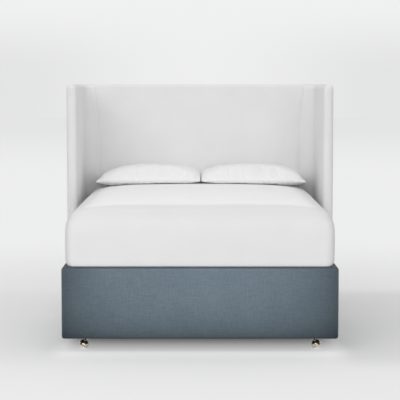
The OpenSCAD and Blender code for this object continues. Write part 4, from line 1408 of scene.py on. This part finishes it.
def build_staples(name, spans, place):
    """Wire staples, each a flat crown with bevelled edges that stands proud of the cloth."""
    corners = [(-1, -1), (1, -1), (1, 1), (-1, 1)]
    across, along = STAPLE_TOP_SHARES
    points, faces = [], []
    for u, v, turned in staple_spots(*spans):
        du, dv = (STAPLE_WIRE, STAPLE_HALF_W) if turned else (STAPLE_HALF_W, STAPLE_WIRE)
        base = len(points)
        points += [place(u + sx * du, v + sy * dv, 0.0) for sx, sy in corners]
        points += [place(u + across * sx * du, v + along * sy * dv, -STAPLE_PROUD) for sx, sy in corners]
        for face in ((0, 1, 5, 4), (1, 2, 6, 5), (2, 3, 7, 6), (3, 0, 4, 7), (4, 5, 6, 7), (3, 2, 1, 0)):
            faces.append(tuple(base + f for f in face))
    pins = tidy(add_object(name, points, faces, steel, smooth=False), smooth=False)
    dress(pins, "base")


def build_dust_sheet(half):
    low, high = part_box(half + "_dust_cover")
    spans = (low[0], high[0]), (low[1], high[1])

    def place(u, v, depth):
        return Vector((u, v, low[2] + depth))

    sheet = cloth_sheet(half + "_dust_sheet", *spans, place, high[2] - low[2], black_felt)
    cut_round_holes(sheet, [(x, y) for x, y in castor_stems() if low[1] < y < high[1]], low[2])
    dress(sheet, "base", (half + "_dust_cover",))
    build_staples(half + "_dust_staples", spans, place)


def castor_stems():
    spots = []
    for number, side in CASTORS:
        low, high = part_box(f"castor_{number}_{side}_ball")
        spots.append(((low[0] + high[0]) / 2 - OUTWARD[side] * TRAIL, (low[1] + high[1]) / 2))
    return spots


def cut_round_holes(sheet, places, z):
    r, deep = STEM_HOLE_R, STEM_HOLE_DEPTH
    cutters = []
    for x, y in places:
        at = Matrix.Translation((x, y, z))
        profile = [(0, -deep), (r, -deep), (r, deep), (0, deep)]
        cutters.append(lathe(profile, PIN_STEPS, black_felt, "cutter", at))
    cutter = join(cutters, "cutters")
    cut = sheet.modifiers.new("holes", "BOOLEAN")
    set_all(cut, object=cutter, operation="DIFFERENCE", solver="EXACT")
    apply_modifiers(sheet)
    bpy.data.objects.remove(cutter)


def build_rear_lining():
    low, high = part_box("back_lining")
    spans = (low[0], high[0]), (low[2], high[2])

    def place(u, v, depth):
        return Vector((u, high[1] - depth, v))

    sheet = cloth_sheet("rear_lining_sheet", *spans, place, high[1] - low[1], white_felt)
    dress(sheet, "base", ("back_lining",))
    build_staples("rear_lining_staples", spans, place)


# The whole scene

build_floor()
build_world()
for name, (place, target, size, power) in LAMPS.items():
    build_lamp(name, place, target, size, power)
build_camera()
finish_cad_nodes()
for half in ("foot", "head"):
    build_base_half(half)
    build_dust_sheet(half)
build_back_panel()
build_rear_lining()
for side in OUTWARD:
    build_wing(side)
build_mattress()
build_duvet()
for side in OUTWARD:
    build_pillow(side)
for number, side in CASTORS:
    build_castor(number, side)

bpy.context.scene.view_settings.view_transform = "Standard"
